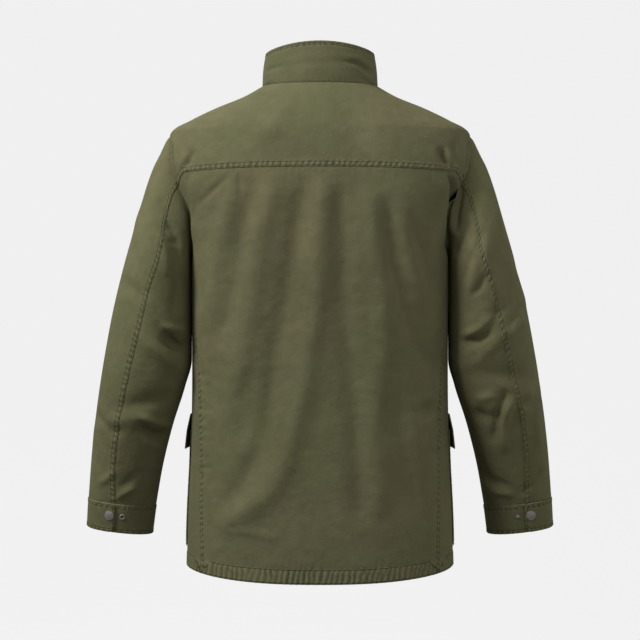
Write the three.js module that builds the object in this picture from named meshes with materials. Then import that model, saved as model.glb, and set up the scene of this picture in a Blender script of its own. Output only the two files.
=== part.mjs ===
import * as THREE from 'three';

// A field jacket, filled out as if worn. The front faces -Y, the back +Y, up is +Z, in millimetres.
// The origin is the middle of the neck opening at the collar seam. The wearer's left is +X.

const SEAM = 0.3;
const SHELL = 1.6;
const DOUBLED = 2.6;
const POCKET_WALL = 2.8;

const HEM_DROP = 735;
const SHOULDER_DROP = 72;
const UNDERARM_DROP = 262;
const YOKE_DROP_MIDDLE = 133;
const YOKE_DROP_ARMHOLE = 156;
const ARMHOLE_SPREAD_BACK = 0.185;
const ARMHOLE_SPREAD_FRONT = 0.2;
const PLEAT_EDGE_X = 189;
const PLEAT_STAND = 3.6;
const PLEAT_STEP = 2.2;
const PLEAT_RISE = 34;
const PLEAT_VALLEY = 7;

const COLLAR_HEIGHT_BACK = 63;
const COLLAR_HEIGHT_SIDE = 50;
const COLLAR_HEIGHT_FRONT = 52;
const COLLAR_LEAN = 5;
const COLLAR_SWELL = 1.5;
const PLACKET_HALF = 30;
const PLACKET_CAP_DROPS = [60, 190, 320, 450, 580];
const CAP_RADIUS = 7.5;
const CAP_HEIGHT = 3;

// The body, ring by ring down from the neck: half widths, depths and heights
const BODY = [
  { drop: 0, side: 89, back: 62, front: 78, zSide: 1, zBack: -1, zFront: -68, round: 2.0 },
  { drop: 16, side: 119, back: 76, front: 88, zSide: -16, zBack: -19, zFront: -80, round: 2.0 },
  { drop: 34, side: 163, back: 88, front: 97, zSide: -34, zBack: -38, zFront: -93, round: 2.05 },
  { drop: 53, side: 202, back: 98, front: 105, zSide: -53, zBack: -56, zFront: -107, round: 2.15 },
  { drop: 72, side: 232, back: 106, front: 111, zSide: -72, zBack: -74, zFront: -121, round: 2.3 },
  { drop: 110, side: 233, back: 114, front: 121, zSide: -110, zBack: -110, zFront: -150, round: 2.6 },
  { drop: 156, side: 220, back: 120, front: 129, zSide: -156, zBack: -156, zFront: -184, round: 2.9 },
  { drop: 182, side: 207, back: 122, front: 132, zSide: -182, zBack: -182, zFront: -203, round: 3.1 },
  { drop: 210, side: 199, back: 123, front: 134, zSide: -210, zBack: -210, zFront: -225, round: 3.2 },
  { drop: 262, side: 197.5, back: 124, front: 137, zSide: -262, zBack: -262, zFront: -268, round: 3.0 },
  { drop: 340, side: 197, back: 122, front: 137, zSide: -340, zBack: -340, zFront: -341, round: 2.9 },
  { drop: 440, side: 197, back: 121, front: 136, zSide: -440, zBack: -441, zFront: -440, round: 2.7 },
  { drop: 560, side: 199, back: 124, front: 138, zSide: -560, zBack: -564, zFront: -560, round: 2.55 },
  { drop: 660, side: 203.5, back: 128, front: 140, zSide: -660, zBack: -668, zFront: -660, round: 2.45 },
  { drop: 735, side: 205.5, back: 131, front: 141, zSide: -734, zBack: -747, zFront: -733, round: 2.4 },
];

// Where the side seam runs round the body: 0 middle back, 1 widest point, 2 middle front
const SIDE_SEAM = [
  { drop: 262, round: 0.96 },
  { drop: 330, round: 0.88 },
  { drop: 420, round: 0.775 },
  { drop: 560, round: 0.735 },
  { drop: 735, round: 0.695 },
];
const SHOULDER_SEAM = 1.07;

// The left sleeve down from the shoulder: its outer and inner lines, fore and aft middle, half depth,
// and how far round from the outer line the back and front seams lie, in degrees
const SLEEVE = [
  { t: 0.0, outX: 232, outZ: -72, inX: 197.5, inZ: -262, midY: -2, half: 66, back: 84, front: -100 },
  { t: 0.03, outX: 242, outZ: -85, inX: 198, inZ: -267, midY: -1, half: 70, back: 86, front: -100 },
  { t: 0.08, outX: 254, outZ: -112, inX: 198, inZ: -277, midY: 0, half: 75, back: 89, front: -100 },
  { t: 0.16, outX: 266, outZ: -148, inX: 198, inZ: -295, midY: 2, half: 80, back: 91, front: -100 },
  { t: 0.28, outX: 283, outZ: -208, inX: 198, inZ: -328, midY: 5, half: 82, back: 90, front: -102 },
  { t: 0.4, outX: 302, outZ: -276, inX: 198, inZ: -370, midY: 8, half: 79, back: 83, front: -104 },
  { t: 0.52, outX: 318, outZ: -342, inX: 198, inZ: -420, midY: 9, half: 75, back: 79, front: -106 },
  { t: 0.64, outX: 332, outZ: -414, inX: 208, inZ: -461, midY: 6, half: 70, back: 76, front: -108 },
  { t: 0.76, outX: 345, outZ: -492, inX: 228, inZ: -522, midY: -2, half: 63, back: 75, front: -110 },
  { t: 0.88, outX: 355, outZ: -566, inX: 245, inZ: -587, midY: -14, half: 55, back: 77, front: -112 },
  { t: 1.0, outX: 362, outZ: -637, inX: 257, inZ: -650, midY: -26, half: 48, back: 84, front: -114 },
];
const CUFF = { outX: 365, outZ: -680, inX: 263, inZ: -693, midY: -32, half: 47 };
const CUFF_STAND = 0.8;
const CUFF_STEPS = 32;
const CUFF_START = 61;
const CUFF_TAB_END = 445;
const CUFF_CAP_AT = 437;
const CUFF_CAP_DOWN = 0.42;
const CUFF_SECOND_AT = 98;

// Soft folds on the back, each a crest (+) or trough (-) along a path of [x, z] seen from behind
const BACK_FOLDS = [
  { path: [[130, -168], [152, -257], [173, -375]], width: 14, height: 2.5 },
  { path: [[101, -159], [118, -246], [138, -353], [151, -397]], width: 15, height: -3.5 },
  { path: [[67, -150], [89, -240], [104, -353], [121, -456]], width: 16, height: 3.2 },
  { path: [[22, -156], [36, -246], [55, -353], [70, -460], [92, -559], [139, -641]], width: 17, height: -4 },
  { path: [[-4, -153], [0, -246], [6, -353], [22, -460], [51, -570], [145, -666]], width: 17, height: 4.2 },
  { path: [[-34, -156], [-37, -257], [-41, -388], [-56, -540], [-62, -655]], width: 16, height: -3.6 },
  { path: [[-71, -168], [-84, -271], [-94, -404], [-79, -522], [-91, -641]], width: 17, height: 3.8 },
  { path: [[-97, -183], [-112, -286], [-137, -375], [-168, -440]], width: 14, height: -4.2 },
  { path: [[-118, -195], [-144, -301], [-162, -345]], width: 13, height: 2.8 },
  { path: [[-106, -478], [-118, -537], [-144, -655]], width: 16, height: -3 },
  { path: [[-136, -500], [-159, -641]], width: 15, height: 2.6 },
  { path: [[136, -441], [145, -530]], width: 17, height: 2.6 },
];
const FRONT_FOLDS = [
  { path: [[150, -190], [95, -330]], width: 16, height: -4 },
  { path: [[120, -170], [70, -300]], width: 15, height: 3.5 },
  { path: [[-150, -195], [-90, -340]], width: 16, height: -4 },
  { path: [[-118, -175], [-72, -310]], width: 15, height: 3.5 },
  { path: [[60, -400], [150, -500]], width: 18, height: -3 },
  { path: [[-65, -410], [-150, -500]], width: 18, height: -3 },
];

// Folds on each sleeve: share of its length, degrees round, spread along and round, slant and height
const SLEEVE_FOLDS = {
  left: [
    { t: 0.5, turn: 125, along: 0.025, round: 30, slant: 0.0007, height: -5 },
    { t: 0.56, turn: 110, along: 0.025, round: 35, slant: 0.0006, height: 4 },
    { t: 0.71, turn: 110, along: 0.025, round: 40, slant: -0.0009, height: -5 },
    { t: 0.77, turn: 80, along: 0.025, round: 50, slant: -0.0008, height: 3.5 },
    { t: 0.6, turn: -90, along: 0.03, round: 45, slant: 0, height: -5 },
    { t: 0.3, turn: 40, along: 0.03, round: 40, slant: 0.001, height: 3 },
  ],
  right: [
    { t: 0.46, turn: 70, along: 0.025, round: 50, slant: 0.0008, height: -4.5 },
    { t: 0.53, turn: 60, along: 0.025, round: 50, slant: 0.0008, height: 4 },
    { t: 0.66, turn: 75, along: 0.025, round: 45, slant: -0.0009, height: -5 },
    { t: 0.73, turn: 100, along: 0.025, round: 45, slant: -0.0008, height: 4 },
    { t: 0.6, turn: -90, along: 0.03, round: 45, slant: 0, height: -5 },
    { t: 0.25, turn: 110, along: 0.03, round: 40, slant: 0.001, height: -3 },
  ],
};

const BACK_COLUMNS = 20;
const FRONT_COLUMNS = 11;
const YOKE_ARM_STEPS = 5;
const BACK_ARM_STEPS = 5;
const FRONT_ARM_STEPS = 9;
const SLEEVE_RINGS = 19;
const SHOULDER_ROWS = [0, 24, 48];
const LOWER_ROWS = [296, 330, 364, 398, 432, 466, 505, 530, 558, 592, 628, 664, 706, HEM_DROP];
const FLAP_ROWS = [505, 530, 558];
const POCKET_ROWS = [530, 558, 592, 628, 664, 706];
const POCKET_COLUMNS = { rear: 2, fore: 8 };
const FLAP_FLARE = 3;

const CLOTH = { color: '#5d5b41', roughness: 0.82, metalness: 0.0 };
const CLOTH_SLEEVE = { color: '#59573e', roughness: 0.82, metalness: 0.0 };
const CLOTH_TRIM = { color: '#56543c', roughness: 0.84, metalness: 0.0 };
const METAL = { color: '#77746b', roughness: 0.5, metalness: 0.8 };

const mix = (a, b, f) => a + (b - a) * f;
const radians = (degrees) => (degrees * Math.PI) / 180;

// 0 below the first value, 1 above the second, with soft ends
function ease(from, to, at) {
  const f = Math.min(Math.max((at - from) / (to - from), 0), 1);
  return f * f * (3 - 2 * f);
}

// A column of a table read between its rows along a smooth curve that never overshoots
function read(table, key, column, at) {
  const last = table.length - 1;
  if (at <= table[0][key]) return table[0][column];
  if (at >= table[last][key]) return table[last][column];
  let row = 0;
  while (table[row + 1][key] < at) row += 1;
  const rise = (k) => (table[k + 1][column] - table[k][column]) / (table[k + 1][key] - table[k][key]);
  const slope = (k) => {
    if (k === 0) return rise(0);
    if (k === last) return rise(last - 1);
    const before = rise(k - 1);
    const after = rise(k);
    return before * after <= 0 ? 0 : (2 * before * after) / (before + after);
  };
  const gap = table[row + 1][key] - table[row][key];
  const f = (at - table[row][key]) / gap;
  const start = table[row][column];
  const end = table[row + 1][column];
  const ends = start * (1 + 2 * f) * (1 - f) ** 2 + end * f * f * (3 - 2 * f);
  return ends + gap * (slope(row) * f * (1 - f) ** 2 - slope(row + 1) * f * f * (1 - f));
}

// A quarter of a rounded oval, walked from its deep end to its wide end
const QUARTER_STEPS = 48;
const quarters = new Map();
function quarter(width, depth, round) {
  const name = `${width},${depth},${round}`;
  if (!quarters.has(name)) {
    const walk = [{ x: 0, y: depth, far: 0 }];
    for (let i = 1; i <= QUARTER_STEPS; i += 1) {
      const angle = (i / QUARTER_STEPS) * (Math.PI / 2);
      const x = width * Math.sin(angle) ** (2 / round);
      const y = i === QUARTER_STEPS ? 0 : depth * Math.cos(angle) ** (2 / round);
      const before = walk[i - 1];
      walk.push({ x, y, far: before.far + Math.hypot(x - before.x, y - before.y) });
    }
    quarters.set(name, walk);
  }
  return quarters.get(name);
}

function alongQuarter(walk, share) {
  const far = Math.min(Math.max(share, 0), 1) * walk[QUARTER_STEPS].far;
  let i = 0;
  while (i < QUARTER_STEPS - 1 && walk[i + 1].far < far) i += 1;
  const f = (far - walk[i].far) / (walk[i + 1].far - walk[i].far);
  return [mix(walk[i].x, walk[i + 1].x, f), mix(walk[i].y, walk[i + 1].y, f)];
}

const body = (column, drop) => read(BODY, 'drop', column, drop);
const frontQuarter = (drop) => quarter(body('side', drop), body('front', drop), body('round', drop));
const backQuarter = (drop) => quarter(body('side', drop), body('back', drop), body('round', drop));

// The body without its folds: round is 0 middle back, +-1 the widest points, +-2 middle front
function plainBody(drop, round) {
  const turn = round > 2 ? round - 4 : round < -2 ? round + 4 : round;
  const sign = turn < 0 ? -1 : 1;
  const far = Math.abs(turn);
  const zSide = body('zSide', drop);
  if (far <= 1) {
    const [x, y] = alongQuarter(backQuarter(drop), far);
    const rise = (y / body('back', drop)) ** 2;
    return new THREE.Vector3(sign * x, y, mix(zSide, body('zBack', drop), rise));
  }
  const [x, y] = alongQuarter(frontQuarter(drop), 2 - far);
  const rise = (y / body('front', drop)) ** 2;
  return new THREE.Vector3(sign * x, -y, mix(zSide, body('zFront', drop), rise));
}

function normalOf(surface, a, b, stepA, stepB) {
  const alongA = surface(a + stepA, b).sub(surface(a - stepA, b));
  const alongB = surface(a, b + stepB).sub(surface(a, b - stepB));
  return alongB.cross(alongA).normalize();
}

// The push of one fold on a point seen square on, from its nearest stretch, fading at the fold's ends
const FOLD_FADE = 35;
function foldPush({ path, width, height }, x, z) {
  let nearest = Infinity;
  let strength = 0;
  for (let i = 0; i < path.length - 1; i += 1) {
    const [[x0, z0], [x1, z1]] = [path[i], path[i + 1]];
    const length = Math.hypot(x1 - x0, z1 - z0);
    const along = ((x - x0) * (x1 - x0) + (z - z0) * (z1 - z0)) / length;
    const kept = Math.min(Math.max(along, 0), length);
    const beside = Math.hypot(x - mix(x0, x1, kept / length), z - mix(z0, z1, kept / length));
    if (beside < nearest) {
      nearest = beside;
      const fromStart = i === 0 ? ease(-FOLD_FADE, FOLD_FADE, along) : 1;
      const fromEnd = i === path.length - 2 ? ease(-FOLD_FADE, FOLD_FADE, length - along) : 1;
      strength = fromStart * fromEnd;
    }
  }
  return height * strength * Math.exp(-((nearest / width) ** 2));
}

const onBody = (drop, round) => {
  const point = plainBody(drop, round);
  const facing = ease(20, 70, Math.abs(point.y));
  if (facing === 0 || drop < 100) return point;
  const folds = point.y > 0 ? BACK_FOLDS : FRONT_FOLDS;
  const settle = facing * ease(YOKE_DROP_MIDDLE, YOKE_DROP_MIDDLE + 30, drop);
  const edge = 1 - 0.7 * ease(HEM_DROP - 60, HEM_DROP, drop);
  const push = folds.reduce((sum, fold) => sum + foldPush(fold, point.x, point.z), 0);
  const out = normalOf(plainBody, drop, round, 0.6, 0.002);
  return point.addScaledVector(out, push * settle * edge);
};

const bodyNormal = (drop, round) => normalOf(onBody, Math.max(drop, 0.7), round, 0.6, 0.002);

// The edge of the back (facing 1) or front (facing -1): shoulder seam, armhole, then side seam
const ARM_MIDDLE = (SHOULDER_DROP + UNDERARM_DROP) / 2;
const ARM_HALF = (UNDERARM_DROP - SHOULDER_DROP) / 2;
function edgeRound(drop, facing) {
  if (drop <= SHOULDER_DROP) return SHOULDER_SEAM;
  if (drop >= UNDERARM_DROP) return read(SIDE_SEAM, 'drop', 'round', drop);
  const up = (drop - ARM_MIDDLE) / ARM_HALF;
  const middle = mix(SHOULDER_SEAM, SIDE_SEAM[0].round, (up + 1) / 2);
  const spread = facing > 0 ? ARMHOLE_SPREAD_BACK : ARMHOLE_SPREAD_FRONT;
  return middle - facing * spread * Math.sqrt(1 - up * up);
}

// Drops round the armhole from one height to another, closest together at its top and bottom
function armholeRows(from, to, steps) {
  const start = Math.acos((ARM_MIDDLE - from) / ARM_HALF);
  const end = Math.acos((ARM_MIDDLE - to) / ARM_HALF);
  const rows = [];
  for (let i = 0; i <= steps; i += 1) {
    rows.push(ARM_MIDDLE - ARM_HALF * Math.cos(mix(start, end, i / steps)));
  }
  return rows;
}

const YOKE_ROWS = [...SHOULDER_ROWS, ...armholeRows(SHOULDER_DROP, YOKE_DROP_ARMHOLE, YOKE_ARM_STEPS)];
const BACK_ARM_ROWS = armholeRows(YOKE_DROP_ARMHOLE, UNDERARM_DROP, BACK_ARM_STEPS);
const BACK_ROWS = [...BACK_ARM_ROWS, ...LOWER_ROWS];
const FRONT_ARM_ROWS = armholeRows(SHOULDER_DROP, UNDERARM_DROP, FRONT_ARM_STEPS);
const FRONT_ROWS = [...SHOULDER_ROWS, ...FRONT_ARM_ROWS, ...LOWER_ROWS];

// The yoke seam sags to its ends and dips where it meets the armhole
function yokeSeam(across) {
  const far = Math.abs(across);
  const sag = 6 * far * far;
  const dip = (YOKE_DROP_ARMHOLE - YOKE_DROP_MIDDLE - 6) * ease(0.84, 1, far);
  return YOKE_DROP_MIDDLE + sag + dip;
}

// A grid of places: rows of points with their normals
function grid(rows, columns, place) {
  return rows.map((row) => columns.map((column) => place(row, column)));
}

const bodyPlace = (drop, round) => ({ point: onBody(drop, round), normal: bodyNormal(drop, round) });

function spaced(from, to, steps) {
  const list = [];
  for (let i = 0; i <= steps; i += 1) list.push(mix(from, to, i / steps));
  return list;
}

// Where the folded edge of the pleat beside each armhole lies round the body
function pleatRound(row) {
  const walk = backQuarter(row);
  const i = walk.findIndex(({ x }) => x >= PLEAT_EDGE_X);
  const f = (PLEAT_EDGE_X - walk[i - 1].x) / (walk[i].x - walk[i - 1].x);
  const girth = walk[QUARTER_STEPS].far;
  return Math.min(mix(walk[i - 1].far, walk[i].far, f) / girth, edgeRound(row, 1) - 8 / girth);
}

// Columns of the back: even between the pleats' edges at -1 and 1, then the step down, the valley and the seam
const STEP_COLUMN = 1.1;
const VALLEY_COLUMN = 1.15;
const SEAM_COLUMN = 1.2;
const backColumns = () => [
  -SEAM_COLUMN, -VALLEY_COLUMN, -STEP_COLUMN, ...spaced(-1, 1, BACK_COLUMNS),
  STEP_COLUMN, VALLEY_COLUMN, SEAM_COLUMN,
];
function backRound(row, column) {
  const far = Math.abs(column);
  if (far <= 1) return column * pleatRound(row);
  const step = pleatRound(row) + PLEAT_STEP / backQuarter(row)[QUARTER_STEPS].far;
  const seam = edgeRound(row, 1);
  return Math.sign(column) * mix(step, seam, (far - STEP_COLUMN) / (SEAM_COLUMN - STEP_COLUMN));
}

// How far the pleat's three layers stand off the body, most along the folded edge
function pleatStand(row, column) {
  if (Math.abs(column) > 1) return 0;
  const inside = (1 - Math.abs(column)) * pleatRound(row) * backQuarter(row)[QUARTER_STEPS].far;
  const upper = ease(YOKE_DROP_ARMHOLE - 6, YOKE_DROP_ARMHOLE + 30, row);
  const lower = 1 - ease(UNDERARM_DROP - 37, UNDERARM_DROP + 13, row);
  return PLEAT_STAND * (1 - ease(0, PLEAT_RISE, inside)) * upper * lower;
}

// How far the cloth sinks between the pleat's edge and the armhole seam
function pleatSink(row, column) {
  if (Math.abs(column) !== VALLEY_COLUMN) return 0;
  const upper = ease(YOKE_DROP_ARMHOLE + 12, YOKE_DROP_ARMHOLE + 36, row);
  return -PLEAT_VALLEY * upper * (1 - ease(UNDERARM_DROP - 30, UNDERARM_DROP + 20, row));
}

const acrossSeam = (column) => backRound(YOKE_DROP_ARMHOLE, column) / edgeRound(YOKE_DROP_ARMHOLE, 1);

function yokeGrid() {
  return grid(YOKE_ROWS, backColumns().map(acrossSeam), (row, across) => {
    const drop = (row * yokeSeam(across)) / YOKE_DROP_ARMHOLE;
    return bodyPlace(drop, across * edgeRound(row, 1));
  });
}

function backGrid() {
  return grid(BACK_ROWS, backColumns(), (row, column) => {
    const down = (row - YOKE_DROP_ARMHOLE) / (HEM_DROP - YOKE_DROP_ARMHOLE);
    const round = backRound(row, column);
    const place = bodyPlace(mix(yokeSeam(round / edgeRound(row, 1)), HEM_DROP, down), round);
    const raised = pleatStand(row, column);
    return { ...lifted(place, raised + pleatSink(row, column)), raised };
  });
}

// Where the placket's edge lies round the body, a set distance from the middle front
function placketRound(drop) {
  return 2 - PLACKET_HALF / frontQuarter(drop)[QUARTER_STEPS].far;
}

const frontColumns = () => [...spaced(0, 1, FRONT_COLUMNS), 2];

// One front from its side edge to the middle, with a line under the placket's edge
function frontGrid(side) {
  return grid(FRONT_ROWS, frontColumns(), (row, across) => {
    const edge = edgeRound(row, -1);
    const round = across > 1 ? 2 : mix(edge, placketRound(row), across);
    return bodyPlace(row, side * round);
  });
}

// Moves one side of a grid back from its seam, along the grid
function holdBack(places, edge, distance) {
  const rows = places.length;
  const columns = places[0].length;
  const pairs = {
    top: places[0].map((place, j) => [place, places[1][j]]),
    bottom: places[rows - 1].map((place, j) => [place, places[rows - 2][j]]),
    first: places.map((row) => [row[0], row[1]]),
    last: places.map((row) => [row[columns - 1], row[columns - 2]]),
  };
  for (const [place, neighbour] of pairs[edge]) {
    const inward = neighbour.point.clone().sub(place.point).normalize();
    place.point = place.point.clone().addScaledVector(inward, distance);
  }
  return places;
}

const lifted = ({ point, normal }, distance) => ({
  point: point.clone().addScaledVector(normal, distance), normal,
});
const copied = (places) => places.map((row) => row.map((place) => ({ ...place })));

// Moves a whole grid out along its normals, by an amount for each row and column
function movedOut(places, amount) {
  return places.map((row, i) => row.map((place, j) => lifted(place, amount(i, j))));
}

// Puts the columns in the order that makes the rows, read downwards, face out
function facingOut(places) {
  const [[first, second], [below]] = places;
  const down = below.point.clone().sub(first.point);
  const across = second.point.clone().sub(first.point);
  const faces = down.cross(across).dot(first.normal) > 0;
  return faces ? places : places.map((row) => [...row].reverse());
}

// A closed wall from a grid of outer points and its thickness inwards, with a plain inside under what is raised
function wall(loose, thickness) {
  const places = facingOut(loose);
  const rows = places.length;
  const columns = places[0].length;
  const positions = [];
  for (const inside of [0, 1]) {
    for (const row of places) {
      for (const { point, normal, raised = 0 } of row) {
        const at = point.clone().addScaledVector(normal, -inside * (thickness + raised));
        positions.push(at.x, at.y, at.z);
      }
    }
  }
  const outer = (i, j) => i * columns + j;
  const inner = (i, j) => rows * columns + i * columns + j;
  const indices = [];
  const quad = (a, b, c, d) => indices.push(a, b, c, a, c, d);
  for (let i = 0; i < rows - 1; i += 1) {
    for (let j = 0; j < columns - 1; j += 1) {
      quad(outer(i, j), outer(i + 1, j), outer(i + 1, j + 1), outer(i, j + 1));
      quad(inner(i, j), inner(i, j + 1), inner(i + 1, j + 1), inner(i + 1, j));
    }
  }
  for (let j = 0; j < columns - 1; j += 1) {
    quad(outer(0, j), outer(0, j + 1), inner(0, j + 1), inner(0, j));
    quad(outer(rows - 1, j + 1), outer(rows - 1, j), inner(rows - 1, j), inner(rows - 1, j + 1));
  }
  for (let i = 0; i < rows - 1; i += 1) {
    quad(outer(i + 1, 0), outer(i, 0), inner(i, 0), inner(i + 1, 0));
    quad(outer(i, columns - 1), outer(i + 1, columns - 1), inner(i + 1, columns - 1), inner(i, columns - 1));
  }
  const geometry = new THREE.BufferGeometry();
  geometry.setAttribute('position', new THREE.Float32BufferAttribute(positions, 3));
  geometry.setIndex(indices);
  return geometry;
}

const jacket = new THREE.Group();
jacket.name = 'field_jacket';

function add(name, geometry, finish) {
  geometry.computeVertexNormals();
  const mesh = new THREE.Mesh(geometry, new THREE.MeshStandardMaterial(finish));
  mesh.name = name;
  jacket.add(mesh);
}

// The back, yoke and fronts, each held back by half a seam where it meets another
function trimmed(places, edges) {
  for (const edge of edges) holdBack(places, edge, SEAM / 2);
  return places;
}

const leftFront = frontGrid(1);
const rightFront = frontGrid(-1);
add('back_yoke', wall(trimmed(yokeGrid(), ['bottom', 'first', 'last']), SHELL), CLOTH);
add('back_panel', wall(trimmed(backGrid(), ['top', 'first', 'last']), SHELL), CLOTH);
add('front_left', wall(trimmed(copied(leftFront), ['first', 'last']), SHELL), CLOTH);
add('front_right', wall(trimmed(copied(rightFront), ['first', 'last']), SHELL), CLOTH);

// The armhole seen as a loop: down the yoke and back, under the arm, and up the front
const ARMHOLE = [
  ...armholeRows(SHOULDER_DROP, YOKE_DROP_ARMHOLE, YOKE_ARM_STEPS).map((drop) => [drop, 1]),
  ...BACK_ARM_ROWS.slice(1).map((drop) => [drop, 1]),
  ...[...FRONT_ARM_ROWS].reverse().slice(1, -1).map((drop) => [drop, -1]),
];
const ROUND_SLEEVE = ARMHOLE.length;
const BACK_SEAM_AT = YOKE_ARM_STEPS;
const FRONT_SEAM_AT = YOKE_ARM_STEPS + BACK_ARM_STEPS + 3;

const sleeve = (column, t) => read(SLEEVE, 't', column, t);

// The middle of a sleeve ring and its two half widths
function ringFrame(outX, outZ, inX, inZ, midY, half) {
  return {
    centre: new THREE.Vector3((outX + inX) / 2, midY, (outZ + inZ) / 2),
    across: new THREE.Vector3((outX - inX) / 2, 0, (outZ - inZ) / 2),
    aft: new THREE.Vector3(0, half, 0),
  };
}

const sleeveFrame = (t) => ringFrame(
  sleeve('outX', t), sleeve('outZ', t), sleeve('inX', t), sleeve('inZ', t), sleeve('midY', t), sleeve('half', t),
);

function onRing({ centre, across, aft }, degrees) {
  const angle = radians(degrees);
  return centre.clone().addScaledVector(across, Math.cos(angle)).addScaledVector(aft, Math.sin(angle));
}

// The armhole loop moved off the body panels by the seam, out along the body and over its edge
function armholeLoop() {
  const places = ARMHOLE.map(([drop, facing]) => bodyPlace(drop, edgeRound(drop, facing)));
  const centre = places.reduce((sum, { point }) => sum.add(point), new THREE.Vector3());
  centre.divideScalar(ROUND_SLEEVE);
  return places.map(({ point, normal }, j) => {
    const after = places[(j + 1) % ROUND_SLEEVE].point;
    const before = places[(j + ROUND_SLEEVE - 1) % ROUND_SLEEVE].point;
    const onward = after.clone().sub(before).cross(normal).normalize();
    if (onward.dot(centre.clone().sub(point)) < 0) onward.negate();
    return point.clone().addScaledVector(onward, SEAM / 2).addScaledVector(normal, SEAM);
  });
}

// How far round each column starts at the armhole, in degrees that keep growing
function startAngles(loop, frame) {
  const angles = [];
  loop.forEach((point, j) => {
    const off = point.clone().sub(frame.centre);
    const across = off.dot(frame.across) / frame.across.lengthSq();
    let angle = (Math.atan2(off.y / frame.aft.y, across) * 180) / Math.PI;
    while (j > 0 && angle < angles[j - 1]) angle += 360;
    angles.push(angle);
  });
  return angles;
}

// How far round a column lies lower down, spaced evenly between the two sleeve seams
function evenAngle(column, t) {
  const back = sleeve('back', t);
  const front = sleeve('front', t);
  const topSteps = ROUND_SLEEVE - FRONT_SEAM_AT + BACK_SEAM_AT;
  if (column <= BACK_SEAM_AT) {
    return mix(front, back, (column + ROUND_SLEEVE - FRONT_SEAM_AT) / topSteps);
  }
  if (column <= FRONT_SEAM_AT) {
    return mix(back, front + 360, (column - BACK_SEAM_AT) / (FRONT_SEAM_AT - BACK_SEAM_AT));
  }
  return 360 + mix(front, back, (column - FRONT_SEAM_AT) / topSteps);
}

function sleevePush(folds, t, degrees) {
  const turn = degrees > 260 ? degrees - 360 : degrees;
  return folds.reduce((sum, fold) => {
    const off = turn - fold.turn;
    const along = (t - fold.t - fold.slant * off) / fold.along;
    return sum + fold.height * Math.exp(-(along ** 2) - (off / fold.round) ** 2);
  }, 0);
}

// How far the sleeve's inner back quarter fills out beyond its oval, where it lies against the body
const SLEEVE_FILL_POWER = 0.68;
function sleeveFill(t, degrees) {
  if (degrees <= 90 || degrees >= 180) return 0;
  const round = Math.sin(radians(degrees));
  const amount = ease(0.02, 0.15, t) * (1 - ease(0.62, 0.95, t));
  return sleeve('half', t) * (round ** SLEEVE_FILL_POWER - round) * amount;
}

// Every ring of one sleeve, all round, from the armhole to the cuff
const SLEEVE_ROWS = [0, 0.03, 0.07, 0.12, ...spaced(0.17, 1, SLEEVE_RINGS - 4)];
function sleeveRings(folds) {
  const loop = armholeLoop();
  const start = startAngles(loop, sleeveFrame(0));
  const stray = loop.map((point, j) => point.clone().sub(onRing(sleeveFrame(0), start[j])));
  return SLEEVE_ROWS.map((t) => {
    const frame = sleeveFrame(t);
    const settled = ease(0, 0.3, t);
    return loop.map((_, j) => {
      const angle = mix(start[j], evenAngle(j, t), settled);
      const point = onRing(frame, angle).addScaledVector(stray[j], 1 - settled);
      point.y += sleeveFill(t, angle);
      const out = point.clone().sub(frame.centre).normalize();
      return point.addScaledVector(out, sleevePush(folds, t, angle) * ease(0.08, 0.2, t));
    });
  });
}

// Normals of a grid of points, from each point's neighbours. A closed grid joins its last column to its first
function withNormals(points, middles, closed) {
  const last = points.length - 1;
  const columns = points[0].length;
  return points.map((row, i) => row.map((point, j) => {
    const down = points[Math.min(i + 1, last)][j].clone().sub(points[Math.max(i - 1, 0)][j]);
    const after = closed ? (j + 1) % columns : Math.min(j + 1, columns - 1);
    const before = closed ? (j + columns - 1) % columns : Math.max(j - 1, 0);
    const normal = row[after].clone().sub(row[before]).cross(down).normalize();
    if (normal.dot(point.clone().sub(middles[i])) < 0) normal.negate();
    return { point, normal };
  }));
}

const mirrored = (places) => places.map((row) => row.map(({ point, normal }) => ({
  point: new THREE.Vector3(-point.x, point.y, point.z),
  normal: new THREE.Vector3(-normal.x, normal.y, normal.z),
})));

function columnsOf(places, from, to) {
  return places.map((row) => {
    const list = [];
    for (let j = from; j <= to; j += 1) list.push(row[j % row.length]);
    return list;
  });
}

function addSleeve(side, folds) {
  const middles = SLEEVE_ROWS.map((t) => sleeveFrame(t).centre);
  const left = withNormals(sleeveRings(folds), middles, true);
  const all = side === 'left' ? left : mirrored(left);
  const top = copied(columnsOf(all, FRONT_SEAM_AT, ROUND_SLEEVE + BACK_SEAM_AT));
  const under = copied(columnsOf(all, BACK_SEAM_AT, FRONT_SEAM_AT));
  add(`sleeve_top_${side}`, wall(trimmed(top, ['first', 'last']), SHELL), CLOTH_SLEEVE);
  add(`sleeve_under_${side}`, wall(trimmed(under, ['first', 'last']), SHELL), CLOTH_SLEEVE);
}

addSleeve('left', SLEEVE_FOLDS.left);
addSleeve('right', SLEEVE_FOLDS.right);

// A cuff is one band whose tab laps over its own start
const CUFF_TOP = sleeveFrame(1);
const CUFF_FOOT = ringFrame(CUFF.outX, CUFF.outZ, CUFF.inX, CUFF.inZ, CUFF.midY, CUFF.half);
const CUFF_DOWN = CUFF_FOOT.centre.clone().sub(CUFF_TOP.centre).normalize();

function cuffPoint(down, degrees) {
  const lap = (DOUBLED + SEAM + 0.1) * ease(CUFF_TAB_END - 72, CUFF_TAB_END - 36, degrees);
  const point = onRing(CUFF_TOP, degrees).lerp(onRing(CUFF_FOOT, degrees), down);
  const middle = CUFF_TOP.centre.clone().lerp(CUFF_FOOT.centre, down);
  const out = point.clone().sub(middle).normalize();
  return point.addScaledVector(out, CUFF_STAND + lap).addScaledVector(CUFF_DOWN, (SEAM + 0.1) * (1 - down));
}

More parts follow.
